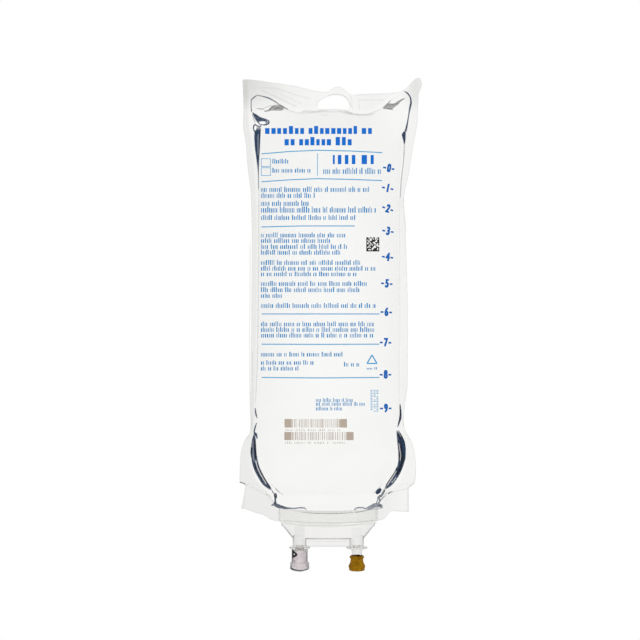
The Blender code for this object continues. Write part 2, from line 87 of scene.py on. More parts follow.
topSeam = ((-0.97, 0.0129), (-0.9, 0.0892), (-0.8, 0.0906), (-0.66, 0.0403), (-0.47, -0.0806),
           (-0.32, -0.1223), (-0.03, -0.1079), (0.12, -0.1079), (0.26, -0.1353), (0.41, -0.141),
           (0.6, -0.0705), (0.7, 0.0187), (0.84, 0.0921), (0.97, 0.0921))
bottomSeam = ((-1, 0.338), (-0.89, 0.296), (-0.736, 0.2147), (-0.685, 0.19), (-0.62, 0.105),
              (-0.574, 0.062), (-0.405, 0.03), (-0.258, 0.012), (0, 0), (0.258, 0.012), (0.405, 0.03),
              (0.574, 0.062), (0.595, 0.11), (0.625, 0.17), (0.68, 0.215), (0.793, 0.245),
              (0.911, 0.277), (0.967, 0.316), (1, 0.33))
bottomEdge = ((-0.98, 0.0317), (-0.81, -0.0187), (-0.73, -0.0388), (-0.657, -0.0892), (-0.56, -0.1137),
              (-0.03, -0.164), (0.54, -0.105), (0.63, -0.0863), (0.71, 0.0043), (0.9, -0.0058))

# Ripples of the welds: heights and runs in metres, waves in radians to a metre
ripple = {
    "topHeight": 0.00028, "sideHeight": 0.00022, "start": 0.012, "run": 0.02,
    "fan": 330, "bend": 2.2, "bendAlong": 70, "slantUp": 900, "slantAcross": 160,
    "sideUp": 210, "sideAcross": 90, "sideFine": 470,
}
# Haze of the film and painted shade, from clear at nothing to full at one: how strong each part of it
# is, where it starts, and over what run in metres or how fast it grows. The welds' haze is the film's
# own; what the two upper corners add is painted shade where the film turns.
hazeAndShade = {
    "weld": 0.38, "sideStart": 0.4, "topWeld": 0.6, "topStart": 0.2, "topRun": 0.006,
    "footStart": 0.3, "footRun": 0.004, "boatLeast": 0.2, "boatRun": 0.003,
    "body": 0.05, "bodyTop": 0.07, "bodyTopFrom": 0.12, "bodyTopRun": 0.07,
    "bodyFoot": 0.03, "bodyFootFrom": -0.26, "bodyFootRun": 0.03,
    "rightLess": 0.5, "rightFrom": 0.5, "rightPace": 3, "cornerRun": 0.012,
    "leftCorner": 0.6, "leftFrom": 0.45, "leftPace": 2,
    "rightCorner": 0.3, "rightCornerFrom": 0.84, "rightCornerPace": 8,
    "slotLeast": 0.45, "slotPace": 0.4, "rim": 0.6,
}

# Where the reference view is taken from, and how its grid of 0.785 mm steps lies on the plane y = 0
viewpoint = {"x": -0.0106, "y": -1.11, "z": -0.171, "widthAtSlot": 0.5024}
step = {"size": 0.000785, "slotAcross": 333.5, "slotDown": 102.2}


# A value held between nothing and one
def clipped(value):
    return np.clip(value, 0, 1)


# A smooth curve through stations that never overshoots: a cubic between each two, with slopes
# that are the harmonic mean of the straight slopes beside a station, or flat at a turn
def smoothThrough(stations, at):
    places, values = np.array(stations, dtype=float).T
    runs = np.diff(places)
    secants = np.diff(values) / runs
    product = secants[:-1] * secants[1:]
    total = np.where(product > 0, secants[:-1] + secants[1:], 1.0)
    slopes = np.concatenate(([0.0], np.where(product > 0, 2 * product / total, 0.0), [0.0]))
    at = np.clip(at, places[0], places[-1])
    left = np.clip(np.searchsorted(places, at, side="right") - 1, 0, len(runs) - 1)
    share = (at - places[left]) / runs[left]
    rise = values[left + 1] - values[left]
    bend = share * share * (3 - 2 * share)
    startPull = share * (1 - share) ** 2 * slopes[left] * runs[left]
    endPull = share * share * (share - 1) * slopes[left + 1] * runs[left]
    return values[left] + rise * bend + startPull + endPull


# Bow angle by height: its stations are shares of the chamber's height, down from the top
def bowAngleAt(z):
    return smoothThrough(bowAngles, (film["top"] - z) / film["height"])


# Half the width that a film of fixed length still spans when it bows: length times sine over angle
def bowedHalf(z):
    angle = bowAngleAt(z)
    return film["flatHalf"] * np.sin(angle) / angle


# Side seams: the bowed width, then a rounded slant in at the lower corners
def seamHalf(z):
    start = bottomLine + film["cornerRise"] * film["cornerStart"]
    drop = clipped((start - z) / film["cornerRise"])
    corner = (1 - drop ** film["cornerFullness"]) ** (1 / film["cornerFullness"])
    return film["cornerHalf"] + (bowedHalf(z) - film["cornerHalf"]) * corner


# Height of an edge that runs across: the base plus half the width times what its stations give
def acrossEdge(stations, x, base=0.0):
    return base + filmHalf * smoothThrough(stations, x / filmHalf)


# Half the width out to the film's cut edge: the bowed half and the part of the weld that shows
def outerHalf(z, stations):
    return bowedHalf(z) + film["seal"] * smoothThrough(stations, (film["top"] - z) / film["height"])


# Quarter ellipse: nothing at the seam, full after the run
def closing(distance, run):
    return np.sqrt(1 - (1 - clipped(distance / run)) ** 2)


# Half the boat's depth: from full in the middle to the tip's, by one less a power of the share
def boatHalfAt(x):
    share = clipped(np.abs(x) / port["boatHalf"])
    return port["boatTip"] + (port["boatDepth"] - port["boatTip"]) * (1 - share ** port["boatFullness"])


# Half the room between the films: an arc across, closed above and below, opened round the boat
def halfRoom(x, z):
    angle = bowAngleAt(z)
    reach = seamHalf(z)
    side = np.clip(x / reach, -1, 1)
    tilt = np.arcsin(side * np.sin(angle))
    lens = np.maximum(np.cos(tilt) - np.cos(angle), 0) * reach / np.sin(angle)
    lens = lens * closing(acrossEdge(topSeam, x) - z, film["topRun"])
    lens = lens * closing(z - acrossEdge(bottomSeam, x, bottomLine), film["bottomRun"])
    overBoat = np.where(np.abs(x) <= port["boatHalf"], boatHalfAt(x) + film["gap"] / 2, 0.0)
    above = clipped((z - bottomLine) / film["bottomRun"])
    overBoat = overBoat * (1 - above) ** 2
    return film["gap"] / 2 + (lens ** 3 + overBoat ** 3) ** (1 / 3)


# How far the welded film stands behind the middle plane: turned strips, forward wings, one corner
def leaning(x, z):
    shown = np.where(x < 0, outerHalf(z, sealShownLeft), outerHalf(z, sealShownRight)) - bowedHalf(z)
    turned = np.sqrt(np.clip(film["seal"] ** 2 - shown ** 2, 0, None))
    beyond = clipped((np.abs(x) - seamHalf(z)) / film["seal"])
    lower = clipped((z - bottomLine) / film["cornerRise"])
    back = turned * beyond * lower * film["lean"]
    overFold = z - acrossEdge(bottomSeam, x, bottomLine)
    wingReach = clipped((np.abs(x) - film["cornerHalf"]) / (filmHalf - film["cornerHalf"]))
    wing = np.where(overFold >= -1e-6, np.exp(-clipped(overFold) / film["cornerRise"]), 0.0)
    forward = film["foldDepth"] * wing * np.sqrt(wingReach)
    twist = clipped((x - filmHalf * film["twistFrom"]) / (filmHalf * film["twistRun"]))
    twist = twist * clipped((z - film["top"] + film["slotHeight"]) / (film["slotHeight"] * 2))
    return back - forward - film["cornerTwist"] * twist * twist


# Soft ripples in the welds: waves that fan out from the slot across the top, and along the sides
def rippled(x, z):
    overSeam = clipped((z - acrossEdge(topSeam, x) + ripple["start"]) / ripple["run"])
    fan = np.sin(x * ripple["fan"] + ripple["bend"] * np.sin(x * ripple["bendAlong"])) * 0.5
    fan = fan + np.sin(z * ripple["slantUp"] + x * ripple["slantAcross"]) * 0.3
    fromMiddle = clipped(np.abs(x - film["centre"]) / ripple["run"])
    topWave = ripple["topHeight"] * overSeam * fan * fromMiddle
    beyond = clipped((np.abs(x) - seamHalf(z)) / film["seal"])
    fine = np.sin(z * ripple["sideFine"])
    side = np.sin(z * ripple["sideUp"] + x * ripple["sideAcross"]) + 0.6 * fine
    return topWave + ripple["sideHeight"] * beyond * side


# Grid places: rows down the top weld, chamber and bottom weld, columns over strip, chamber, strip
def filmGrid():
    strip = np.arange(film["sealColumns"]) / film["sealColumns"]
    even = np.arange(film["columns"]) / film["columns"]
    lastStrip = np.arange(film["sealColumns"] + 1) / film["sealColumns"]
    columnShare = np.concatenate((strip, even, lastStrip))
    columnZone = np.repeat((-1, 0, 1), (len(strip), len(even), len(lastStrip)))
    weld = np.arange(film["topRows"]) / film["topRows"]
    down = np.arange(film["rows"]) / film["rows"]
    down = (down + 0.5 - 0.5 * np.cos(np.pi * down)) / 2
    fold = film["foldDrop"] / film["flap"]
    foot = np.concatenate(([0.0, fold * 0.5], np.linspace(fold, 1, film["flapRows"])))
    rowShare = np.concatenate((weld, down, foot))[:, None]
    rowZone = np.repeat((-1, 0, 1), (len(weld), len(down), len(foot)))[:, None]
    # x depends on z and z on x, so both settle on each other in a few rounds
    x = np.zeros((len(rowZone), len(columnZone)))
    z = np.linspace(0, bottomLine, len(rowZone))[:, None] + x
    for _ in range(film["rounds"]):
        seam = seamHalf(z)
        angle = bowAngleAt(z)
        bowed = seam * np.sin((2 * columnShare - 1) * angle) / np.sin(angle)
        left = -outerHalf(z, sealShownLeft) * (1 - columnShare) - seam * columnShare
        right = seam * (1 - columnShare) + outerHalf(z, sealShownRight) * columnShare
        x = np.where(columnZone < 0, left, np.where(columnZone > 0, right, bowed))
        high, low = acrossEdge(topEdge, x), acrossEdge(bottomEdge, x, bottomLine)
        seamHigh, seamLow = acrossEdge(topSeam, x), acrossEdge(bottomSeam, x, bottomLine)
        top = high + (seamHigh - high) * rowShare
        chamber = seamHigh + (seamLow - seamHigh) * rowShare
        below = seamLow + (low - seamLow) * rowShare
        z = np.where(rowZone < 0, top, np.where(rowZone > 0, below, chamber))
    return x, z


# Inner face of the front film: the leaning and rippled middle less half the room
def innerFrontY(x, z):
    inward = x - film["centre"]
    return leaning(inward, z) + rippled(inward, z) - halfRoom(inward, z)


# Outer face of the front film, raised by a lift: both are measured square to the slanting face, so
# along Y they grow with the root of one plus the squares of its two slopes
def frontY(x, z, lift):
    y, near = innerFrontY(x, z), 0.0002
    slopeX = (innerFrontY(x + near, z) - y) / near
    slopeZ = (innerFrontY(x, z + near) - y) / near
    longer = np.minimum(np.sqrt(1 + slopeX ** 2 + slopeZ ** 2), film["steepest"])
    return y - (film["thickness"] + lift) * longer


# Front of the moulding: boat, then keel, then thin sheet, with the tubes standing out of them
def mouldingY(x, z, lift):
    share = clipped((boatBottom - z) / port["keelDrop"])
    keel = port["keelDepth"] + (port["keelLowDepth"] - port["keelDepth"]) * share
    deep = np.where(z > boatBottom, boatHalfAt(x - film["centre"]),
                    np.where(share < 1, keel, port["sheet"] / 2))
    aside = np.minimum(np.abs(x - portCentres[0]), np.abs(x - portCentres[1]))
    return -np.maximum(deep, np.sqrt(np.clip(port["tube"] ** 2 - aside ** 2, 0, None))) - lift


# Front of an upright round surface about the axis of one of the ports
def roundY(centre, radius):
    return lambda x, z, lift: -np.sqrt(np.clip(radius ** 2 - (x - centre) ** 2, 0, None)) - lift


# A place seen in the reference view, drawn in from the plane y = 0 to where the front surface lies
def seenOn(surface, x, z, lift):
    atX, atZ = x.copy(), z.copy()
    for _ in range(6):
        y = surface(atX, atZ, lift)
        nearer = 1 - y / viewpoint["y"]
        atX = viewpoint["x"] + (x - viewpoint["x"]) * nearer
        atZ = viewpoint["z"] + (z - viewpoint["z"]) * nearer
    return np.stack((atX, surface(atX, atZ, lift), atZ), axis=-1)


# Metres on the plane y = 0 for a place across and down in the reference view
def seenAt(across, down):
    return (across - step["slotAcross"]) * step["size"], (step["slotDown"] - down) * step["size"]


# Objects and meshes
def meshOf(name, verts, faces):
    mesh = bpy.data.meshes.new(name)
    mesh.from_pydata(verts.tolist(), [], faces.tolist() if hasattr(faces, "tolist") else faces)
    mesh.update()
    return mesh


def placed(name, data):
    made = bpy.data.objects.new(name, data)
    scene.collection.objects.link(made)
    return made


def newPiece(name, verts, faces, material, body, slot, smooth=True):
    piece = placed(name, meshOf(name, verts, faces))
    if smooth:
        piece.data.shade_smooth()
    piece.data.materials.append(material)
    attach(piece, body)
    return piece


# Quads of a grid of rows and columns whose points are numbered row by row
def gridQuads(rows, columns, offset=0, flip=False):
    first = (np.arange(rows - 1)[:, None] * columns + np.arange(columns - 1)).ravel() + offset
    quads = np.stack((first, first + columns, first + columns + 1, first + 1), axis=1)
    return quads[:, ::-1] if flip else quads


# Numbers of the points round the rim of such a grid, once round
def rimOf(rows, columns):
    top = np.arange(columns)
    right = np.arange(1, rows) * columns + columns - 1
    bottom = (rows - 1) * columns + np.arange(columns - 2, -1, -1)
    left = np.arange(rows - 2, 0, -1) * columns
    return np.concatenate((top, right, bottom, left))


# Two matching grids, the first facing -Y and the second +Y, closed round their rims
def closedPair(front, back):
    rows, columns = front.shape[:2]
    count = rows * columns
    verts = np.concatenate((front.reshape(-1, 3), back.reshape(-1, 3)))
    rim = rimOf(rows, columns)
    after = np.roll(rim, -1)
    sides = np.stack((rim, after, after + count, rim + count), axis=1)
    faces = np.concatenate((gridQuads(rows, columns), gridQuads(rows, columns, count, True), sides))
    return verts, faces


# A flat outline of (x, z) places made into a slab, half of its thickness on each side of y = 0
def slabMesh(outline, thickness):
    count = len(outline)
    verts = np.concatenate([np.stack((outline[:, 0], np.full(count, y), outline[:, 1]), axis=1)
                            for y in (-thickness / 2, thickness / 2)])
    ring = np.arange(count)
    after = np.roll(ring, -1)
    sides = np.stack((after, ring, ring + count, after + count), axis=1)
    return verts, [ring.tolist(), (ring[::-1] + count).tolist(), *sides.tolist()]


def setFloat(mesh, name, values):
    layer = mesh.attributes.new(name, "FLOAT", "POINT")
    layer.data.foreach_set("value", np.asarray(values, dtype=np.float32).ravel())


def markSharp(piece, degrees):
    piece.data.set_sharp_from_angle(angle=math.radians(degrees))


# The evaluated mesh of a piece takes the place of its modifiers
def settle(piece, *spent):
    bpy.context.view_layer.update()
    graph = bpy.context.evaluated_depsgraph_get()
    seen = piece.evaluated_get(graph)
    mesh = bpy.data.meshes.new_from_object(seen, preserve_all_data_layers=True, depsgraph=graph)
    piece.modifiers.clear()
    piece.data = mesh
    for thing in spent:
        bpy.data.objects.remove(thing)


# A tool with a material of its own leaves it on the faces that it cuts
def cutBy(piece, tool, operation="DIFFERENCE"):
    boolean = piece.modifiers.new(tool.name, "BOOLEAN")
    boolean.operation = operation
    boolean.solver = "EXACT"
    boolean.material_mode = "TRANSFER" if tool.data.materials else "INDEX"
    boolean.object = tool


# Materials
def shaderOf(name):
    material = bpy.data.materials.new(name)
    material.use_nodes = True
    return material, material.node_tree, material.node_tree.nodes["Principled BSDF"]


def setShader(shader, **values):
    for name, value in values.items():
        socket = shader.inputs[name.replace("_", " ")]
        socket.default_value = (*value, 1.0) if socket.type == "RGBA" else value


# A new node: settings of the node itself first, then the values of its sockets
def addNode(tree, kind, sockets=None, **settings):
    node = tree.nodes.new("ShaderNode" + kind)
    for name, value in settings.items():
        setattr(node, name, value)
    for name, value in (sockets or {}).items():
        node.inputs[name].default_value = value
    return node


def join(tree, source, output, target, socket):
    tree.links.new(source.outputs[output], target.inputs[socket])


def colourRamp(tree, colours, places):
    ramp = addNode(tree, "ValToRGB")
    for element, colour, place in zip(ramp.color_ramp.elements, colours, places):
        element.color = (*colour, 1.0)
        element.position = place
    return ramp


# Uneven tone shared by the clear plastics and the inks: soft clouds between two colours
def cloudyGroup():
    group = bpy.data.node_groups.new("cloudyTone", "ShaderNodeTree")
    for name, kind in (("Vector", "Vector"), ("Scale", "Float"), ("Clear", "Color"), ("Dull", "Color"),
                       ("Amount", "Float")):
        group.interface.new_socket(name, in_out="INPUT", socket_type="NodeSocket" + kind)
    group.interface.new_socket("Color", in_out="OUTPUT", socket_type="NodeSocketColor")
    enter, leave = group.nodes.new("NodeGroupInput"), group.nodes.new("NodeGroupOutput")
    noise = addNode(group, "TexNoise", {"Detail": 3.0})
    spread = addNode(group, "MapRange", {"From Min": 0.35, "From Max": 0.7})
    share = addNode(group, "Math", operation="MULTIPLY")
    mix = addNode(group, "Mix", data_type="RGBA")
    join(group, enter, "Vector", noise, "Vector")
    join(group, enter, "Scale", noise, "Scale")
    join(group, noise, "Fac", spread, "Value")
    join(group, spread, "Result", share, 0)
    join(group, enter, "Amount", share, 1)
    join(group, share, "Value", mix, "Factor")
    join(group, enter, "Clear", mix, "A")
    join(group, enter, "Dull", mix, "B")
    join(group, mix, "Result", leave, "Color")
    return group


cloudy = cloudyGroup()
cloudAmount = 0.6


# The node of that group in a material, laid out by Object coordinates
def cloudyTone(tree, scale, clear, dull):
    tone = addNode(tree, "Group", {"Scale": scale, "Clear": (*clear, 1.0), "Dull": (*dull, 1.0),
                                   "Amount": cloudAmount}, node_tree=cloudy)
    join(tree, addNode(tree, "TexCoord"), "Object", tone, "Vector")
    return tone


# Clear plastic turns to its edge colour where it faces away from the view, a painted shade at its
# edges, and where asked also by the film's layer of haze and painted shade
def clearPlastic(name, clear, dull, edge, roughness, ior, scale=60.0, edgePower=0.35, withHazeAndShade=False,
                 through=1.0):
    material, tree, shader = shaderOf(name)
    setShader(shader, Roughness=roughness, IOR=ior, Transmission_Weight=through)
    colour, output = cloudyTone(tree, scale, clear, dull), "Color"
    facing = addNode(tree, "LayerWeight", {"Blend": edgePower})
    masks = [(facing, "Facing")]
    if withHazeAndShade:
        masks.insert(0, (addNode(tree, "Attribute", attribute_name="hazeAndShade"), "Fac"))
    for mask, value in masks:
        mix = addNode(tree, "Mix", {"B": (*edge, 1.0)}, data_type="RGBA")
        join(tree, mask, value, mix, "Factor")
        join(tree, colour, output, mix, "A")
        colour, output = mix, "Result"
    join(tree, colour, output, shader, "Base Color")
    return material


def plainInk(name, colour):
    material, tree, shader = shaderOf(name)
    setShader(shader, Roughness=0.45, Specular_IOR_Level=0.1)
    lighter = [min(1.0, part * 1.2 + 0.01) for part in colour]
    join(tree, cloudyTone(tree, 900.0, colour, lighter), "Color", shader, "Base Color")
    return material


# A stroke whose strength, kept on the mesh, is how much of it covers what lies behind
def strokeMaterial(name, colour):
    material, tree, shader = shaderOf(name)
    setShader(shader, Base_Color=colour, Roughness=0.5, Specular_IOR_Level=0.2)
    join(tree, addNode(tree, "Attribute", attribute_name="strength"), "Fac", shader, "Alpha")
    return material


def rubber(name, dark, light):
    material, tree, shader = shaderOf(name)
    setShader(shader, Roughness=0.5, Specular_IOR_Level=0.05)
    noise = addNode(tree, "TexNoise", {"Scale": 260.0, "Detail": 4.0})
    ramp = colourRamp(tree, (dark, light), (0.3, 0.7))
    bump = addNode(tree, "Bump", {"Strength": 0.15, "Distance": 0.0003})
    join(tree, addNode(tree, "TexCoord"), "Object", noise, "Vector")
    join(tree, noise, "Fac", ramp, "Fac")
    join(tree, ramp, "Color", shader, "Base Color")
    join(tree, noise, "Fac", bump, "Height")
    join(tree, bump, "Normal", shader, "Normal")
    return material


# The third colour of each clear plastic is its painted edge shade, darkest on the cap
finishes = {
    "film": clearPlastic("clearFilm", (0.985, 0.986, 0.980), (0.97, 0.972, 0.965), (0.80, 0.80, 0.79),
                         0.03, 1.16, withHazeAndShade=True, edgePower=0.25),
    "solution": clearPlastic("clearSolution", (0.992, 0.995, 0.990), (0.988, 0.991, 0.987),
                             (0.93, 0.94, 0.94), 0.0, 1.08, scale=20.0, edgePower=0.2),
    "moulding": clearPlastic("clearMoulding", (0.885, 0.88, 0.865), (0.84, 0.835, 0.82),
                             (0.34, 0.34, 0.335), 0.02, 1.16, edgePower=0.3),
    "bore": clearPlastic("clearBore", (0.94, 0.935, 0.925), (0.92, 0.915, 0.905),
                         (0.86, 0.86, 0.855), 0.0, 1.16, edgePower=0.3),
    "cap": clearPlastic("clearCap", (0.93, 0.865, 0.88), (0.87, 0.805, 0.82), (0.10, 0.10, 0.11),
                        0.04, 1.1, edgePower=0.35, through=0.5),
    "diaphragm": clearPlastic("diaphragmPlastic", (0.95, 0.95, 0.94), (0.92, 0.92, 0.90),
                              (0.6, 0.6, 0.6), 0.0, 1.1),
    "rubber": rubber("amberRubber", (0.170, 0.078, 0.001), (0.300, 0.148, 0.002)),
    "ink": plainInk("blueInk", (0.0, 0.095, 0.370)),
    "softInk": plainInk("paleBlueInk", (0.001, 0.180, 0.430)),
    "ruleInk": plainInk("ruleInk", (0.060, 0.280, 0.500)),
    "headingInk": plainInk("headingInk", (0.002, 0.118, 0.480)),
    "taupe": plainInk("taupeInk", (0.390, 0.325, 0.265)),
    "black": plainInk("blackInkAndShade", (0.010, 0.010, 0.012)),
    # The strokes: painted shade in navy, near black and grey, and painted highlights in white
    "navy": strokeMaterial("edgeShadow", (0.011, 0.030, 0.075)),
    "core": strokeMaterial("edgeShadowCore", (0.004, 0.009, 0.022)),
    "grey": strokeMaterial("greyShade", (0.110, 0.113, 0.106)),
    "light": strokeMaterial("paintedHighlight", (0.98, 0.98, 0.98)),
}
print("scene: finishes made")


# Welded film: the room's two faces, thickened outwards by the wall along the face's own normal
def outwardNormals(points, side):
    alongRow = np.gradient(points, axis=1)
    downRow = np.gradient(points, axis=0)
    normal = np.cross(downRow, alongRow)
    normal /= np.maximum(np.linalg.norm(normal, axis=2, keepdims=True), 1e-12)
    return np.where(normal[:, :, 1:2] * side < 0, -normal, normal)


# Slot: a flat foot with two rounded corners, under an arch that rises with a power of the sine
def slotOutline():
    half, low, high = film["slotWidth"] / 2, -film["slotHeight"] / 2, film["slotHeight"] / 2
    corner = film["slotCorner"]
    turn = np.radians(np.linspace(-90, 0, 9))
    right = np.stack((half - corner + corner * np.cos(turn),
                      low + corner + corner * np.sin(turn)), axis=1)
    angle = np.pi * np.arange(1, 48) / 48
    rise = (high - low - corner) * np.sin(angle) ** film["slotArch"]
    arch = np.stack((half * np.cos(angle), low + corner + rise), axis=1)
    left = right[::-1] * (-1, 1)
    return np.concatenate((right, arch, left))


def slotCutter():
    return placed("slotCutter", meshOf("slotCutter", *slabMesh(slotOutline(), film["seal"] * 6)))


gridX, gridZ = filmGrid()
middle = leaning(gridX, gridZ) + rippled(gridX, gridZ)
room = halfRoom(gridX, gridZ)


# Haze and painted shade of the film: haze full in the welded strips and wings; a little darker over the
# chamber, more so toward its top and foot; less on the right, over the boat and round the slot; painted
# shade added at the two upper corners, where the film turns; darker along the cut rim
def hazeOf(x, z):
    beyond = clipped((np.abs(x) - seamHalf(z)) / (film["seal"] * 0.5) + hazeAndShade["sideStart"])
    above = clipped((z - acrossEdge(topSeam, x)) / hazeAndShade["topRun"] + hazeAndShade["topStart"])
    underSeam = acrossEdge(bottomSeam, x, bottomLine) - z
    fromBoat = (np.abs(x) - port["boatHalf"] + hazeAndShade["boatRun"]) / hazeAndShade["boatRun"]
    below = clipped(underSeam / hazeAndShade["footRun"] + hazeAndShade["footStart"])
    below = below * np.clip(fromBoat, hazeAndShade["boatLeast"], 1)
    welds = np.maximum(np.maximum(beyond, above * hazeAndShade["topWeld"]), below) * hazeAndShade["weld"]
    high = clipped((z + hazeAndShade["bodyTopFrom"]) / hazeAndShade["bodyTopRun"])
    low = clipped((hazeAndShade["bodyFootFrom"] - z) / hazeAndShade["bodyFootRun"])
    body = hazeAndShade["body"] + hazeAndShade["bodyTop"] * high + hazeAndShade["bodyFoot"] * low
    share = x / filmHalf
    right = clipped((share - hazeAndShade["rightFrom"]) * hazeAndShade["rightPace"])
    amount = np.maximum(welds, body) * np.where(x > 0, 1 - hazeAndShade["rightLess"] * right, 1)
    # Painted shade at the two upper corners, where the film is turned
    overTop = clipped((z - film["top"]) / hazeAndShade["cornerRun"])
    leftCorner = clipped((-share - hazeAndShade["leftFrom"]) * hazeAndShade["leftPace"]) * overTop
    rightCorner = clipped((share - hazeAndShade["rightCornerFrom"]) * hazeAndShade["rightCornerPace"]) * overTop
    amount = amount + leftCorner * hazeAndShade["leftCorner"] + rightCorner * hazeAndShade["rightCorner"]
    fromSlot = np.hypot(x + film["centre"], z) / film["slotWidth"]
    amount = clipped(amount) * clipped(hazeAndShade["slotLeast"] + hazeAndShade["slotPace"] * fromSlot)
    amount[0] = amount[-1] = amount[:, 0] = amount[:, -1] = hazeAndShade["rim"]
    return amount


def makeFilm(name, side, node, cutter):
    inner = np.stack((gridX + film["centre"], middle + side * room, gridZ), axis=2)
    outer = inner + outwardNormals(inner, side) * film["thickness"]
    front, back = (outer, inner) if side < 0 else (inner, outer)
    verts, faces = closedPair(front, back)
    piece = newPiece(name, verts, faces, finishes["film"], "bag", "film")
    setFloat(piece.data, "hazeAndShade", np.tile(hazeOf(gridX, gridZ).ravel(), 2))
    cutBy(piece, cutter)
    settle(piece)
    markSharp(piece, 40)
    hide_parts(node)


slotTool = slotCutter()
makeFilm("frontFilm", -1, "front_film", slotTool)
makeFilm("rearFilm", 1, "rear_film", slotTool)
bpy.data.objects.remove(slotTool)
print("scene: films made")


# A profile of (radius, height) turned about an upright axis at x = centre, with its corners rounded
# by a short curve whose ends stand back from the corner by the given amount
def roundedProfile(points, amount):
    points = np.array(points, dtype=float)
    out = [points[:1]]
    for before, corner, after in zip(points[:-2], points[1:-1], points[2:]):
        toBefore, toAfter = before - corner, after - corner
        reachBefore = min(amount, np.linalg.norm(toBefore) * 0.45)
        reachAfter = min(amount, np.linalg.norm(toAfter) * 0.45)
        start = corner + toBefore / np.linalg.norm(toBefore) * reachBefore
        end = corner + toAfter / np.linalg.norm(toAfter) * reachAfter
        share = np.linspace(0, 1, 5)[:, None]
        out.append(start * (1 - share) ** 2 + corner * 2 * share * (1 - share) + end * share ** 2)
    out.append(points[-1:])
    return np.concatenate(out)


# Every point of the profile carried round the axis in even steps: radius times cosine and sine
def turnedMesh(profile, centre, steps=96):
    turn = np.arange(steps) * 2 * np.pi / steps
    radius, height = profile[:, 0][:, None], profile[:, 1][:, None]
    verts = np.stack((centre + radius * np.cos(turn), radius * np.sin(turn), height + 0 * turn), axis=2)
    rows = len(profile)
    first = (np.arange(rows - 1)[:, None] * steps + np.arange(steps)).ravel()
    nextOne = (np.arange(rows - 1)[:, None] * steps + (np.arange(steps) + 1) % steps).ravel()
    return verts.reshape(-1, 3), np.stack((first, nextOne, nextOne + steps, first + steps), axis=1)


def weldPoints(piece):
    work = bmesh.new()
    work.from_mesh(piece.data)
    bmesh.ops.remove_doubles(work, verts=work.verts, dist=1e-7)
    bmesh.ops.recalc_face_normals(work, faces=work.faces)
    work.to_mesh(piece.data)
    work.free()
    piece.data.shade_smooth()


# A turned piece: profile ends on the axis are merged to one point each
def turnedPiece(name, profile, centre, material, body, slot):
    piece = newPiece(name, *turnedMesh(profile, centre), material, body, slot)
    weldPoints(piece)
    markSharp(piece, 40)
    return piece


# A tool for the boolean cuts and unions, with no material and no body
def toolOf(name, verts, faces):
    made = placed(name, meshOf(name, verts, faces))
    weldPoints(made)
    return made


# Solution: the whole room between the films, with no air between, down to just inside the boat.
# What fills the bores doesn't show in plastic that bends light nearly alike, so it ends at the boat.
solution = {"intoFilm": 0.00003, "intoBoat": 0.0003, "boatShare": 0.97}


def makeSolution():
    topRows, rows = film["topRows"], film["rows"]
    left, columns = film["sealColumns"], film["columns"]
    part = (slice(topRows + 1, topRows + rows), slice(left + 1, left + columns))
    x, z, lean = gridX[part], gridZ[part].copy(), middle[part]
    share = np.abs(x[-1]) / port["boatHalf"]
    inBoat = boatTop + port["arch"] * share ** 2 - solution["intoBoat"]
    z[-1] = np.where(share < solution["boatShare"], np.minimum(z[-1], inBoat), z[-1])
    fill = room[part] + solution["intoFilm"]
    front = np.stack((x + film["centre"], lean - fill, z), axis=2)
    back = np.stack((x + film["centre"], lean + fill, z), axis=2)
    verts, faces = closedPair(front, back)
    piece = newPiece("solution", verts, faces, finishes["solution"], "bag", "solution")
    markSharp(piece, 60)
    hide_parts("saline")


makeSolution()
print("scene: solution made")


# Port housing: rows of points down the ribbed boat and then the keel under it, arched so that
# both ends stand higher; the keel narrows from the boat's tips to the outsides of the two tubes
def boatMesh():
    across = np.sin(np.linspace(-1, 1, port["columns"]) * np.pi / 2)[None, :]
    down = np.linspace(0, 1, port["boatRows"])[:, None]
    bands = down * (port["ribCount"] * 2 + 1)
    inset = np.where(np.floor(bands) % 2 == 1, np.sin(bands * np.pi) ** 2, 0.0) * port["ribDepth"]
    boatDepth = np.maximum(boatHalfAt(across * port["boatHalf"]) - inset, port["boatTip"] / 2)
    boatX = across * port["boatHalf"] + 0 * down
    boatZ = boatTop - port["boatHeight"] * down + port["arch"] * across ** 2
    share = np.linspace(0, 1, port["keelRows"])[:, None]
    topHalf = port["boatHalf"] - port["keelInset"]
    lowHalf = port["spacing"] / 2 + port["tube"] * port["overlap"]
    deep = port["keelDepth"] + (port["keelLowDepth"] - port["keelDepth"]) * share
    full = (1 - np.abs(across) ** (2.4 + share * 2)) ** (1 - share / 2)
    keelDepth = np.maximum(deep * full, port["boatTip"] / 2)
    keelX = across * (topHalf + (lowHalf - topHalf) * share)
    keelZ = boatBottom - port["keelDrop"] * share + port["arch"] * (1 - share) * across ** 2
    x = np.concatenate((boatX, keelX)) + film["centre"]
    y = np.concatenate((boatDepth, keelDepth))
    z = np.concatenate((boatZ, keelZ))
    return closedPair(np.stack((x, -y, z), axis=2), np.stack((x, y, z), axis=2))


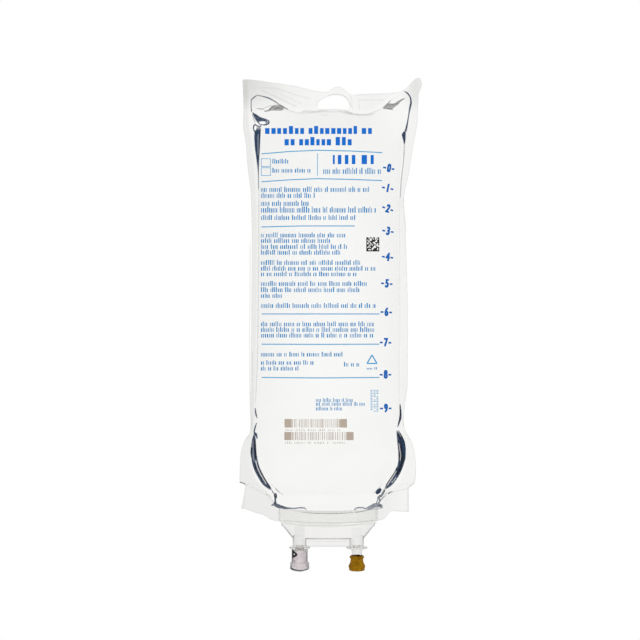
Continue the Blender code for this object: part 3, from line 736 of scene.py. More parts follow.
def makePortHousing():
    verts, faces = boatMesh()
    piece = newPiece("portHousing", verts, faces, finishes["moulding"], "bag", "moulding")
    weldPoints(piece)
    centre = film["centre"]
    half, sheetLow = port["spacing"] / 2, flangeTop + film["gap"] * 3
    sheetTop = boatBottom - port["keelDrop"] + port["sheet"]
    sheet = np.array([(centre - half, sheetTop), (centre - half, sheetLow), (centre + half, sheetLow),
                      (centre + half, sheetTop)])
    tools = [toolOf("thinSheet", *slabMesh(sheet, port["sheet"]))]
    bevel = port["spigot"] * 0.1
    tubeTop = boatBottom - port["keelDrop"] * 0.8
    for number, (middleX, root) in enumerate(zip(portCentres, (port["spigot"], port["root"]))):
        profile = [(0, tubeTop), (port["tube"], tubeTop), (port["tube"], flangeTop),
                   (port["flange"] - bevel, flangeTop), (port["flange"], flangeTop - bevel),
                   (port["flange"], flangeBottom + bevel), (port["flange"] - bevel, flangeBottom),
                   (root, flangeBottom), (port["spigot"], flangeBottom - port["rootLength"]),
                   (port["spigot"], spigotTip + bevel), (port["spigot"] - bevel, spigotTip),
                   (0, spigotTip)]
        profile = roundedProfile(profile, port["rounding"])
        tools.append(toolOf(f"tube{number}", *turnedMesh(profile, middleX, port["steps"])))
    for tool in tools:
        cutBy(piece, tool, "UNION")
    bores = []
    for number, middleX in enumerate(portCentres):
        over, under = flangeBottom + film["gap"] * 3 + port["rim"], spigotTip - port["boatHeight"]
        profile = np.array([(0, over), (port["bore"], over), (port["bore"], flangeBottom),
                            (port["spigotBore"], flangeBottom), (port["spigotBore"], under),
                            (0, under)])
        bore = toolOf(f"bore{number}", *turnedMesh(profile, middleX, port["steps"]))
        bore.data.materials.append(finishes["bore"])
        bores.append(bore)
        cutBy(piece, bore)
    settle(piece, *tools, *bores)
    piece.data.shade_smooth()
    markSharp(piece, 35)
    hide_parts("port_housing")


makePortHousing()
print("scene: port housing made")

# Pull-off cap over the set port: a cup with a narrower mouth and a flared foot
cap = {
    "radius": 0.0063, "wall": 0.0008, "grip": 0.0023, "foot": 0.0075, "footHeight": 0.0048,
    "floor": 0.0010, "tipRoom": 0.0010, "rounding": 0.00045,
}


def makeCap():
    top, floor = flangeBottom - film["gap"], spigotTip - cap["tipRoom"]
    low = floor - cap["floor"]
    bore, grip = cap["radius"] - cap["wall"], port["spigot"] + film["gap"]
    foot, flare = low + cap["footHeight"], cap["foot"] - cap["radius"]
    profile = [(0, floor), (bore - flare, floor), (bore, floor + flare),
               (bore, top - cap["grip"] - flare), (grip, top - cap["grip"]), (grip, top),
               (cap["radius"], top), (cap["radius"], foot + flare), (cap["foot"], foot),
               (cap["foot"], low), (0, low)]
    piece = turnedPiece("pullCap", roundedProfile(profile, cap["rounding"]), portCentres[0],
                        finishes["cap"], "protector", "protector")
    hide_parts("set_port_protector")


makeCap()

# Rubber stopper over the medication port: a sleeve with a plug, that swells by a squared sine
stopper = {
    "mouth": 0.0057, "waist": 0.0050, "bulge": 0.0066, "bulgePlace": 1.9, "footSwell": 0.72,
    "topBelow": 0.0056, "cover": 0.0032, "plug": 0.0053, "mouthRim": 0.0021, "rounding": 0.00035,
}


def makeStopper():
    top, low = flangeBottom - stopper["topBelow"], spigotTip - stopper["cover"]
    tall = top - low
    plug, groove = port["spigotBore"] - film["gap"], port["spigot"] + film["gap"]
    seat, plugTop, rim = spigotTip - film["gap"], spigotTip + stopper["plug"], stopper["mouthRim"]
    mouth, waist = stopper["mouth"], stopper["waist"]
    profile = [(0, plugTop), (plug * 0.7, plugTop), (plug, plugTop - plug * 0.4), (plug, seat),
               (groove, seat), (groove, top - rim * 0.1), (groove + rim * 0.15, top),
               (mouth - rim * 0.4, top), (mouth, top - rim * 0.4), (mouth, top - rim * 0.85)]
    share = np.linspace(0, 1, 25)
    place = share ** stopper["bulgePlace"]
    swell = np.sin(np.pi * place) ** 2
    swell = np.where(place > 0.5, np.maximum(swell, stopper["footSwell"]), swell)
    radius = waist + (stopper["bulge"] - waist) * swell
    profile += np.stack((radius, top - rim - (tall - rim * 1.2) * share), axis=1).tolist()
    dimple = low + rim * 0.2
    profile += [(waist * 1.02, low), (waist * 0.6, low), (waist * 0.5, dimple), (0, dimple)]
    piece = turnedPiece("rubberStopper", roundedProfile(profile, stopper["rounding"]), portCentres[1],
                        finishes["rubber"], "bag", "stopper")
    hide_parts("medication_port_stopper")


makeStopper()
for name in ("set_port_diaphragm", "medication_port_diaphragm"):
    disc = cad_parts[name]
    disc.data.materials.clear()
    disc.data.materials.append(finishes["diaphragm"])
print("scene: cap, stopper and diaphragms made")


# Heights of the print and of the drawn marks over what they lie on, in metres
lifts = {"faint": 0.00004, "dark": 0.00005, "grey": 0.00006, "number": 0.00008, "print": 0.0001,
         "core": 0.00018, "light": 0.00024, "dot": 0.00026}
# The print in steps of the reference view: the largest cells, the widths of the lines, and the
# least and most width and gap of each kind of upright
cell = {"wide": 3.0, "tall": 2.4}
lineWidths = {"rule": 1.0, "frame": 0.6, "divider": 0.7, "triangle": 1.3, "dash": 1.7}
uprights = {
    "text": ((0.65, 1.25), (0.7, 1.1)), "tiny": ((0.5, 0.9), (0.6, 0.9)),
    "heading": ((3.4, 4.6), (1.4, 1.9)), "underBars": ((0.3, 0.7), (0.8, 1.4)),
    "bar": ((0.3, 0.95), (0.5, 1.5)),
}
words = {"letters": (2, 10), "short": 0.26, "tallShare": 0.25, "space": 1.6}
seeds = {"print": 20, "bars": 7, "dots": 11}


# A tall cell is cut into four rows, so that it follows the film instead of sinking into it
def splitTall(cells):
    tall = np.abs(cells[:, 3, 1] - cells[:, 0, 1]) > cell["tall"]
    share = np.linspace(0, 1, 5)[None, :, None]
    left = cells[tall][:, None, 0] * (1 - share) + cells[tall][:, None, 3] * share
    right = cells[tall][:, None, 1] * (1 - share) + cells[tall][:, None, 2] * share
    rows = np.stack((left[:, :-1], right[:, :-1], right[:, 1:], left[:, 1:]), axis=2)
    return np.concatenate((cells[~tall], rows.reshape(-1, 4, 2)))


# Print: each mark is a set of small cells of four (across, down) corners, laid on the front film
def inkPiece(name, cells, material):
    cells = splitTall(np.array(cells, dtype=float))
    x, z = seenAt(cells[:, :, 0], cells[:, :, 1])
    points = seenOn(frontY, x, z, lifts["print"]).reshape(-1, 3)
    faces = np.arange(len(points)).reshape(-1, 4)
    newPiece(name, points, faces, material, "bag", "film", smooth=False)


# A box from its lower left to upper right place, in strips no wider than the film's bow needs
def boxCells(left, high, right, low):
    count = max(1, math.ceil((right - left) / cell["wide"]))
    edges = np.linspace(left, right, count + 1)
    return [[(a, low), (b, low), (b, high), (a, high)] for a, b in zip(edges[:-1], edges[1:])]


# A line of even width through places on the film
def lineCells(places, width, closed=False):
    places = np.array(places, dtype=float)
    if closed:
        places = np.concatenate((places, places[:1]))
    cells = []
    for a, b in zip(places[:-1], places[1:]):
        count = max(1, math.ceil(np.linalg.norm(b - a) / cell["wide"]))
        along = (b - a) / np.linalg.norm(b - a)
        side = np.array((along[1], -along[0])) * width / 2
        for i in range(count):
            start, end = a + (b - a) * i / count, a + (b - a) * (i + 1) / count
            cells.append([start - side, end - side, end + side, start + side])
    return cells


# A run of words stood in for by seeded plain uprights of two heights
def wordCells(left, high, right, low, random, kind="text"):
    wide, gap = uprights[kind]
    cells, at, short = [], left, high + (low - high) * words["short"]
    while at < right - wide[0]:
        for _ in range(random.integers(*words["letters"])):
            across = random.uniform(*wide)
            if at + across > right:
                break
            up = high if random.random() < words["tallShare"] else short
            cells.append([(at, low), (at + across, low), (at + across, up), (at, up)])
            at += across + random.uniform(*gap)
        at += gap[1] * words["space"]
    return cells


# Lines of small print: left and right end, top and bottom, in steps of the reference view
textLines = (
    (272.4, 158.8, 289.4, 163.6), (272.4, 167.8, 311.8, 172.7), (323.3, 167.8, 381.5, 174.0),
    (261, 186.6, 370, 192), (261, 192.7, 315, 198), (261, 200.5, 309.4, 206),
    (261, 206.6, 376, 212.7), (261, 215, 356, 220), (261, 232.5, 347.5, 237.5),
    (261, 238, 330, 243), (261, 244, 347, 249), (261, 249.8, 341, 254.8),
    (261, 260, 361.5, 265), (261, 265.8, 375.4, 270.8), (261, 271.5, 357.2, 276.3),
    (261, 281, 368, 286), (261, 287.2, 361, 292.2), (261, 293.2, 283.3, 298),
    (261, 303, 376, 308), (261, 321.4, 374, 326.4), (261, 327, 374.8, 332), (261, 332.6, 374.8, 337.6),
    (261, 351.8, 343.9, 356.6), (261, 360.2, 313.6, 364.8), (261, 366, 298.5, 370.6),
    (344, 361.9, 360, 366.6),
)
smallLines = (
    (316, 398, 353, 402), (316, 401.8, 365.7, 405.9), (316, 406.5, 343, 410.5),
    (366.7, 367.2, 377.2, 369.6),
)
rules = (
    ((261.5, 153.9), (289, 151.6), (317, 150.3), (350, 151), (382.4, 152.7)),
    ((261.5, 181.8), (289, 179.9), (317, 178.7), (350, 179.4), (382, 180.6)),
    ((261.3, 227), (300, 226), (354.8, 226)),
    ((261.7, 314), (320, 314), (379.6, 314)),
    ((261.7, 344.2), (320, 344.4), (379.3, 344.2)),
    ((261.7, 377.5), (320, 378), (379.3, 377.5)),
)
heading = ((265, 126, 376.6, 134), (284.5, 137, 354.8, 145.4))
largeBoxes = {"high": 155, "low": 164.2, "ends": (
    (332.8, 334.8), (337.8, 341.4), (344.8, 348.4), (351.8, 355.4), (361.6, 367), (370.6, 373.8))}
smallFrames = {"left": 261.3, "right": 270.6, "tops": (158.8, 167.8), "tall": 7.8}
divider = ((317.5, 153.3), (317.5, 175.7))
triangle = ((372, 355), (377, 363.5), (367, 363.5))
uprightNote = {"places": (371.5, 374.6, 377.4), "high": 390, "low": 411, "step": 1.6, "half": 1,
               "tall": 0.75, "kept": 0.85}
barFields = ((284.5, 419, 347, 427.6), (284.3, 432, 353.6, 440.2))
bars = {"end": 7.2, "before": 0.5, "after": 0.6, "underTop": 1.2, "underFoot": 3.6, "underRight": 6}
dots = {"count": 12, "left": 366.3, "high": 237.3, "wide": 13.0, "tall": 14.2, "filled": 0.55}
# Numbers of the scale: place across, place down and tilt in degrees
scaleMarks = (
    (389, 168.4, 10), (387.9, 188.4, 11), (387.9, 208.9, 20), (388.2, 231.4, 9), (387.8, 257.3, 7),
    (387, 283.8, 5), (386.5, 312.3, 3), (385.8, 342.7, 2), (385.7, 374.8, 0), (386, 408.5, -1),
)


def makePrint():
    random = np.random.default_rng(seeds["print"])
    cells = []
    for place in textLines:
        cells += wordCells(*place, random)
    for place in smallLines:
        cells += wordCells(*place, random, "tiny")
    inkPiece("smallPrint", cells, finishes["softInk"])
    cells = []
    for places in rules:
        cells += lineCells(places, lineWidths["rule"])
    left, right = smallFrames["left"], smallFrames["right"]
    for high in smallFrames["tops"]:
        low = high + smallFrames["tall"]
        corners = ((left, high), (right, high), (right, low), (left, low))
        cells += lineCells(corners, lineWidths["frame"], True)
    cells += lineCells(divider, lineWidths["divider"])
    cells += lineCells(triangle, lineWidths["triangle"], True)
    half, tall = uprightNote["half"], uprightNote["tall"]
    for across in uprightNote["places"]:
        for start in np.arange(uprightNote["high"], uprightNote["low"], uprightNote["step"]):
            if random.random() < uprightNote["kept"]:
                cells += boxCells(across - half, start, across + half, start + tall)
    inkPiece("printRules", cells, finishes["ruleInk"])
    cells = []
    for place in heading:
        cells += wordCells(*place, random, "heading")
    for left, right in largeBoxes["ends"]:
        cells += boxCells(left, largeBoxes["high"], right, largeBoxes["low"])
    inkPiece("headingPrint", cells, finishes["headingInk"])


# Bar fields: solid ends with thin seeded bars between them, and small uprights over their foot
def makeBarFields():
    random = np.random.default_rng(seeds["bars"])
    cells, end = [], bars["end"]
    widthRange, gapRange = uprights["bar"]
    for left, high, right, low in barFields:
        cells += boxCells(left, high, left + end, low) + boxCells(right - end, high, right, low)
        at = left + end + bars["before"]
        while at < right - end - bars["after"]:
            wide = random.uniform(*widthRange)
            cells += boxCells(at, high, min(at + wide, right - end), low)
            at += wide + random.uniform(*gapRange)
        cells += wordCells(left + 1, low + bars["underTop"], right - bars["underRight"],
                           low + bars["underFoot"], random, "underBars")
    inkPiece("barFields", cells, finishes["taupe"])


# Dot field: a square of seeded dark cells with two solid sides
def makeDotField():
    random = np.random.default_rng(seeds["dots"])
    count, left, high = dots["count"], dots["left"], dots["high"]
    wide, tall = dots["wide"] / count, dots["tall"] / count
    filled = random.random((count, count)) < dots["filled"]
    filled[:, 0] = filled[-1, :] = True
    cells = []
    for row, column in zip(*np.nonzero(filled)):
        a, b = left + column * wide, high + row * tall
        cells += boxCells(a, b, a + wide, b + tall)
    inkPiece("dotField", cells, finishes["black"])


# Numbers of the scale: size, how much bolder and narrower than the plain face, how far apart they
# are laid twice, and the two dashes beside each
numeral = {"size": 11.2, "bolder": 0.45, "narrow": 0.6, "apart": (-0.35, 0.35), "liftApart": 0.00002,
           "dashes": ((-6.0, -3.0), (2.7, 5.5))}


def numeralMesh(number):
    curve = bpy.data.curves.new("scaleNumber", "FONT")
    curve.body = str(number)
    curve.size = numeral["size"]
    curve.align_x = curve.align_y = "CENTER"
    curve.offset = numeral["bolder"]
    curve.resolution_u = 6
    shown = placed("scaleNumber", curve)
    bpy.context.view_layer.update()
    graph = bpy.context.evaluated_depsgraph_get()
    flat = bpy.data.meshes.new_from_object(shown.evaluated_get(graph))
    points = np.zeros(len(flat.vertices) * 3)
    flat.vertices.foreach_get("co", points)
    bpy.data.objects.remove(shown)
    return points.reshape(-1, 3), [list(polygon.vertices) for polygon in flat.polygons]


# Scale at the right: a plain number between two short dashes for each tenth of the height
def makeScale():
    verts, faces, dashes, offset = [], [], [], 0
    for number, (across, down, tilt) in enumerate(scaleMarks):
        points, polygons = numeralMesh(number)
        cosine, sine = math.cos(math.radians(tilt)), math.sin(math.radians(tilt))
        for aside in numeral["apart"]:
            right, up = points[:, 0] * numeral["narrow"] + aside, points[:, 1]
            x, z = seenAt(across + right * cosine + up * sine, down - up * cosine + right * sine)
            verts.append(seenOn(frontY, x, z, lifts["number"] + aside * numeral["liftApart"]))
            faces += [[offset + i for i in polygon] for polygon in polygons]
            offset += len(points)
        for start, end in numeral["dashes"]:
            ends = [(across + reach * cosine, down + reach * sine) for reach in (start, end)]
            dashes += lineCells(ends, lineWidths["dash"])
    newPiece("scaleNumbers", np.concatenate(verts), faces, finishes["ink"], "bag", "film",
             smooth=False)
    inkPiece("scaleDashes", dashes, finishes["ink"])


makePrint()
makeBarFields()
makeDotField()
makeScale()
print("scene: print, scale, bar fields and dot field laid")


# Marks drawn on the film, the moulding and the cap, in steps of the reference view. Each is kept as
# two edges and a strength: a line is given by one width or several and the places along its middle,
# a band by those along both edges, always across and down in turn. The sizes: samples per place, the
# soft edge, how far it spills over, and how fast a mark fades in from its ends.
stroke = {"samples": 9, "soft": 0.4, "spill": 0.3, "fade": 14}


# A smooth curve through places, by the share of the way that is run along them
def alongLine(places, share):
    places = np.array(places, dtype=float).reshape(-1, 2)
    steps = np.linalg.norm(np.diff(places, axis=0), axis=1)
    lengths = np.concatenate(([0.0], np.cumsum(steps))) / np.sum(steps)
    curves = [smoothThrough(np.stack((lengths, values), axis=1), share) for values in places.T]
    return np.stack(curves, axis=1)


# The edges stand half the width to each side of the middle, square to the way it runs
def line(strength, wide, *places):
    share = np.linspace(0, 1, len(places) // 2 * stroke["samples"])
    middleLine = alongLine(places, share)
    wide = np.interp(share, np.linspace(0, 1, np.size(wide)), np.atleast_1d(wide))
    along = np.gradient(middleLine, axis=0)
    side = np.stack((-along[:, 1], along[:, 0]), axis=1)
    side = side / np.linalg.norm(along, axis=1, keepdims=True)
    reach = side * wide[:, None] / 2
    return middleLine - reach, middleLine + reach, strength


def band(strength, firstEdge, secondEdge):
    share = np.linspace(0, 1, max(len(firstEdge), len(secondEdge)) // 2 * stroke["samples"])
    return alongLine(firstEdge, share), alongLine(secondEdge, share), strength


# Across a mark the cover rises over a soft step at each edge; along it, it fades at both ends
def markMesh(firstEdge, secondEdge, strength, lift, surface):
    across = secondEdge - firstEdge
    wide = np.maximum(np.linalg.norm(across, axis=1, keepdims=True), 1e-6)
    out = across / wide
    soft = np.minimum(stroke["soft"], wide * stroke["soft"])
    spill = out * stroke["spill"]
    lanes = (firstEdge - spill, firstEdge + out * soft, (firstEdge + secondEdge) / 2,
             secondEdge - out * soft, secondEdge + spill)
    points = np.stack(lanes, axis=1)
    x, z = seenAt(points[:, :, 0], points[:, :, 1])
    share = np.linspace(0, 1, len(points))
    fade = clipped(np.minimum(share, 1 - share) * stroke["fade"])[:, None]
    return seenOn(surface, x, z, lift), strength * fade * np.array((0, 1, 1, 1, 0))


# One piece of several marks; force above one makes their weaker parts cover more
def marksPiece(name, marks, finish, lift, force=1.0, surface=frontY, body="bag", slot="film"):
    verts, faces, cover, offset = [], [], [], 0
    for firstEdge, secondEdge, strength in marks:
        points, covering = markMesh(firstEdge, secondEdge, strength, lift, surface)
        rows, columns = points.shape[:2]
        verts.append(points.reshape(-1, 3))
        faces.append(gridQuads(rows, columns, offset))
        cover.append(1 - (1 - covering.ravel()) ** force)
        offset += rows * columns
    piece = newPiece(name, np.concatenate(verts), np.concatenate(faces), finishes[finish], body,
                     slot)
    setFloat(piece.data, "strength", np.concatenate(cover))


# Dark marks where the film turns away from the light low on the left
lowerLeftMarks = (
    band(0.8, (253.6, 433.4, 251.6, 442, 250.7, 452, 251.7, 461, 253.9, 469, 257.8, 477, 262.7, 484.6,
         267.6, 488.4, 271.5, 491), (255, 433.4, 255.8, 442, 256.5, 452, 257.9, 461, 260.1, 468.6,
         263.6, 475.8, 268, 482.8, 270.8, 487.2, 272.3, 490.6)),
    line(0.85, (1.4, 2.6, 1.9, 0.9), 253.8, 432.3, 255.6, 434, 256.6, 436.4, 257.2, 438.8),
    line(0.8, (0.6, 1.4, 1.5, 1.2), 256.6, 422.8, 255.6, 426, 254.6, 429.5, 254, 432.5),
    line(0.8, (0.7, 1.4, 1.6, 0.6), 255.2, 408, 255.6, 412, 256.4, 416, 257.3, 418.4),
    line(0.7, (0.9, 1), 272, 490.6, 273.7, 493.6),
    line(0.79, (1.6, 3.5, 2.8, 1.5, 2.2, 3.4), 274.3, 493.2, 275.3, 494.6, 275.6, 497.4, 275.2, 500,
         275.3, 502.6, 274.4, 504),
    line(0.66, (3.4, 4, 3, 1.9, 1.3, 1.2, 1.3, 0.9), 273.8, 503.2, 277, 505.6, 282, 507.1, 288, 508.2,
         294, 508.4, 300, 507.8, 304, 508, 307, 510),
    line(0.5, (2.4, 1.4), 274.4, 504, 271.4, 505.8),
)
# Darker cores of that painted shade, low on the left
lowerLeftCores = (
    band(0.95, (254.4, 438, 254.1, 445, 254.5, 452, 255, 458.6), (255.5, 438, 256, 445, 256.3, 452,
         256.3, 458.6)),
    line(0.95, (0.9, 1, 1.2, 1.1, 0.9, 0.8), 257, 461.5, 258.7, 467, 261.6, 473, 264.6, 479,
         267.6, 484.2, 270.2, 488.2),
    line(0.7, (1, 1.9, 1.2), 251.5, 447, 251.3, 452, 251.7, 457),
    line(0.4, (1.2, 2, 1.2, 1.2, 0.8), 253.4, 462, 255, 467, 257.8, 472.8, 261.6, 479, 265.4, 484),
)
# Painted highlights: pale streaks inside the dark bands low on the left
lowerLeftLights = (
    line(0.6, (1, 0.9, 0.9, 0.9, 0.8), 255.6, 460, 257.3, 467, 259.9, 473, 263.3, 479, 266.5, 484.4),
    line(0.2, (0.9, 1.2, 1.3, 1.1), 253.2, 441, 252.9, 448, 253.2, 456, 254.6, 462),
)
# The same low on the right, with a small blob beside the end of the boat
lowerRightMarks = (
    band(0.84, (396.2, 430.4, 396.8, 437, 397.5, 444, 398.2, 451, 398.3, 459, 397.3, 465.6,
         393.8, 473.2, 389.2, 479.8, 386.2, 484.4, 384, 489.6), (398.8, 430, 402.2, 435.8, 404.8, 442,
         405.9, 450, 405.7, 457, 404, 464, 400.9, 472, 397, 478.8, 392.8, 484.3, 386, 489.6)),
    line(0.87, (0.8, 1.7, 2, 2.5, 1.8, 0.7), 400, 404, 400.4, 410, 400.6, 414, 400.3, 418, 399.2, 422,
         397.6, 427.2),
    line(0.6, (2, 2.3, 1.9), 384.8, 489.6, 382.8, 493.4, 380.6, 497),
    line(0.9, (2, 4.8, 2.4), 380.8, 488.4, 378.8, 491, 375.8, 493.4),
    line(0.5, (2.2, 2.3, 1.8, 1.8), 380.6, 495.2, 378.9, 497.6, 379.8, 500.6, 378.4, 503.6),
    line(0.55, (1, 1.1, 1.3), 378, 496.4, 377.3, 500.6, 376.4, 503.6),
    line(0.46, (2.2, 4.2, 4.8, 3.6, 1.8), 382.6, 506.7, 379, 505.4, 375.6, 505.4, 371, 507,
         366.4, 508.6),
    line(0.6, (1.2, 1.3, 1.4, 1.1), 366.4, 508.9, 361.6, 507.6, 357.6, 507.8, 354.2, 510),
    line(0.3, (1, 1, 1, 0.8), 383.6, 507.6, 378, 508.7, 371, 509.4, 363, 511.3, 355, 512.6),
)
# Darker cores of the painted shade low on the right
lowerRightCores = (
    band(1, (397.6, 432.8, 399.2, 438, 400.3, 446, 401.1, 453, 400.9, 460, 398.8, 468, 395.4, 475),
         (399, 433, 403.2, 438, 405.1, 445, 404.9, 453, 403.9, 460.6, 401.6, 468, 398, 475)),
    line(0.95, (0.9, 1.1, 1.3, 0.9), 397.7, 441, 398.6, 448, 399.5, 455, 399, 462),
    line(0.95, (1, 1.1, 1.1, 1, 0.9), 396.9, 467, 395.9, 470, 391.6, 477, 387.7, 483, 386, 485.6),
    line(0.8, (0.8, 1.1, 1.4, 0.8), 400.2, 408, 400.5, 414, 400, 419, 398.9, 423),
    line(0.7, (1.4, 1, 0.7), 378.2, 505.4, 379.8, 505.2, 381.6, 507.4),
)
# Painted highlights inside the dark bands low on the right
lowerRightLights = (
    line(0.45, (0.8, 0.9, 0.9, 0.7), 398.8, 443, 399.7, 449, 400.6, 455.5, 400, 461),
    line(0.6, (0.7, 0.9, 1, 0.8), 396.4, 471, 392.8, 477, 388.8, 483, 387, 485.8),
    line(0.25, (0.9, 1.6, 2), 396.2, 477, 394, 480.2, 391.4, 483),
    line(0.25, (0.7, 0.8, 0.6), 398.4, 431.8, 399.6, 434.4, 401.2, 437),
)
# Painted shade at the upper left: a dark band that runs down the side seam, with a wedge and a small
# ring over it
upperLeftMarks = (
    band(0.9, (256.2, 127, 254.6, 131.6, 254.2, 137, 254.7, 146, 255.6, 154, 256.6, 161, 257.6, 169,
         258.2, 178, 258.4, 190), (261, 126.4, 260.8, 131, 260.5, 137, 260.1, 146, 259.6, 154,
         259.2, 161, 258.9, 169, 258.8, 178, 258.9, 190)),
    line(0.88, (1.1, 1.4, 1.2, 1.1), 255.8, 124.2, 254, 125.4, 253.5, 128.4, 254.8, 132.2),
    line(0.7, (1.1, 1.3, 1.3, 1), 254.8, 124.2, 257, 126, 259.6, 126.4, 261.3, 125.6),
    band(0.76, (252.2, 111.8, 256.9, 114.7, 261.5, 117.5, 266.1, 118.9, 268.9, 120.3), (252.6, 113.8,
         255, 119, 258, 122.4, 261.5, 121.4, 267, 121.6)),
    line(0.72, (1.6, 1.7, 1.7, 1.1, 1.1, 1.3), 268.3, 120, 268.9, 122.2, 267, 124.4, 263.8, 124.8,
         260.4, 124.4, 257.8, 121.6),
    line(0.5, (1.6, 2.4, 1.2), 265.6, 121.4, 266.8, 122.4, 266, 123.6),
    line(0.32, (0.9, 0.9, 0.8), 252.6, 113.4, 253.4, 118, 255.4, 122.8),
    line(0.6, (1.1, 1, 1, 1.3, 0.9), 251.6, 112, 251.2, 105.6, 251.2, 100.6, 253.4, 98, 257.2, 95.2),
    line(0.6, (0.8, 1.1, 1.5, 1.2, 0.8), 257.2, 95.2, 262, 96.2, 268, 97.8, 272, 99.8, 279, 104.2),
    line(0.56, (0.9, 1.1, 0.8), 279, 104.2, 283, 106.6, 288, 109.5),
)
# Grey painted shade of the folds at the upper left
upperLeftGreys = (
    band(0.64, (264, 110.8, 268, 109.8, 271, 106.6, 274, 105, 279.6, 104.6, 284.4, 108.2),
         (265.2, 111.8, 269.4, 111.2, 273, 110.6, 277, 110.8, 281, 110.8, 284, 109.4)),
    line(0.6, (1, 1.2, 1.1, 0.9), 264, 111.4, 268, 110.8, 271, 108.3, 274.4, 106),
    line(0.5, (1.4, 2.4, 1.4), 273.6, 109.6, 278, 107.8, 282, 109.4),
    line(0.5, (0.7, 1.4, 0.6), 256.6, 108.4, 260.4, 108.9, 264.4, 109.3),
    line(0.26, (0.9, 1.3, 0.8), 262, 109, 267.4, 106.8, 272, 105.2),
)
# Painted shade at the upper right: a thin dark line down the turned corner, and grey painted shade of
# an arrow-shaped fold beside it
upperRightMarks = (
    line(0.82, (0.9, 1.6, 1.4, 1.9, 1.8, 1.2, 1.2, 1.5, 1.9, 2.6), 403.6, 91.2, 406.6, 92.6, 409, 95.2,
         410.6, 98.8, 411, 102.6, 410.2, 106.6, 409.2, 112, 408, 119.6, 406.7, 126.6, 405.3, 132.4),
    line(0.86, (1.6, 4.2, 3.2, 2, 1), 405, 131.6, 403.8, 134.9, 404.1, 138, 404.4, 142, 404.2, 144.6),
    line(0.42, (0.9, 0.8, 0.7, 0.7, 0.7, 0.6), 404.3, 143.4, 404.1, 150, 403.6, 160, 402.4, 170,
         401, 184, 400.2, 198),
)
upperRightGreys = (
    band(0.7, (382.4, 108.2, 386, 104.9, 389, 103.6, 393, 103.8, 398, 101.4, 401.4, 99.4, 405, 98),
         (383, 108.9, 387, 109.2, 391, 109.6, 394, 107.6, 397.6, 105, 401.8, 100.9, 405.4, 98.6)),
    line(0.66, (0.9, 1.3, 0.6), 386.2, 105, 388.8, 102.6, 390.7, 100),
    line(0.5, (0.8, 1.1, 1.2, 0.9), 389, 104, 393.2, 104.1, 398, 101.6, 404.6, 98.3),
    line(0.5, (1.2, 1.3, 0.6), 387.4, 108.8, 391, 109.2, 393.4, 109.9),
)
# Painted highlights in the dark band and ring at the upper left
upperLeftLights = (
    line(0.22, (0.9, 1.1, 0.7), 258.2, 134, 258, 146, 258, 155),
    band(0.85, (254.9, 126.4, 254.8, 128.4, 255.2, 130.6), (255.5, 126.4, 256.4, 128.4, 255.5, 130.4)),
    band(0.75, (259, 121.8, 260.6, 122.2, 262.6, 122, 264.6, 121.4), (259.6, 122.6, 261, 123.9,
         262.8, 124, 264.6, 123.4)),
)
darkMarks = lowerLeftMarks + lowerRightMarks + upperLeftMarks + upperRightMarks
lightMarks = lowerLeftLights + lowerRightLights + upperLeftLights
marksPiece("darkMarks", darkMarks, "navy", lifts["dark"], 2.0)
marksPiece("greyMarks", upperLeftGreys + upperRightGreys, "grey", lifts["grey"])
marksPiece("darkCores", lowerLeftCores + lowerRightCores, "core", lifts["core"], 1.4)
marksPiece("lightStreaks", lightMarks, "light", lifts["light"])

# Faint grey lines of painted shade: side seams, ripples of the top weld, the slot's rim and the
# chamber's top
faintLines = (
    line(0.27, (0.9, 0.8, 0.9, 0.9, 0.8), 258.9, 186, 258.8, 210, 258.6, 240, 258.3, 280, 258, 320,
         257.6, 350, 256.6, 380, 255.6, 404),
    line(0.13, (0.9, 0.8, 0.7, 0.8, 0.9), 399.6, 196, 399.5, 230, 399.6, 280, 399.8, 330, 399.4, 360,
         399.5, 390, 400, 406),
    line(0.22, (1, 0.9, 0.9, 1.2, 1.2), 250.2, 240, 250, 270, 250, 300, 249.6, 330, 249.8, 372,
         250.4, 410, 251.2, 424, 249.6, 434, 245.4, 440),
    line(0.14, 0.8, 252.4, 350, 252.6, 380, 252.8, 410, 252.6, 430),
    line(0.16, (0.9, 0.9, 0.8), 404, 205, 404.6, 216, 406, 232),
    line(0.09, (1.2, 2, 1.8, 1.2), 262, 87.6, 274, 88.2, 284, 91, 298, 95.6, 312, 99),
    line(0.1, (1.2, 2, 2, 1.2), 260, 89, 264, 91.6, 274, 96, 288, 102.4, 297, 107.6),
    line(0.08, (1, 2.2, 1.2), 280, 94, 292, 99.6, 302, 104),
    line(0.14, (1, 1.8, 1), 300, 113.6, 306, 110.6, 314, 111.4),
    line(0.26, 1, 316.4, 107.4, 317, 103.8, 321, 99.6, 329, 95.7, 336.5, 94.2, 344.2, 96, 348.8, 101.6,
         351.6, 107.6),
    line(0.15, (1, 2.2, 1.6, 2.6, 2.2, 1.2), 300, 111, 312, 111.6, 322, 110.6, 333, 109.8, 341, 110.6,
         350, 113.2, 362, 115, 374, 114.2),
    line(0.2, (0.8, 1.6, 0.8), 318, 109.6, 322, 110, 326.6, 110.8),
    line(0.2, (1, 2.4, 1), 344, 110.8, 348, 112, 352.4, 114),
    line(0.12, (0.8, 1.2, 0.8), 320, 114.6, 324, 115.2, 329, 115.2),
    line(0.07, (1, 1.6, 1), 350.4, 93, 351.6, 100, 352.4, 110),
    line(0.12, (1, 1.2, 1), 358.6, 99.8, 370, 100.1, 384.6, 100),
    line(0.07, (1, 1.2, 1), 359, 100, 358.9, 105, 359.2, 111.4),
    line(0.1, (1, 1.2, 1), 355, 94.6, 370, 94, 388, 93.6, 400, 92),
)
marksPiece("faintLines", faintLines, "grey", lifts["faint"])
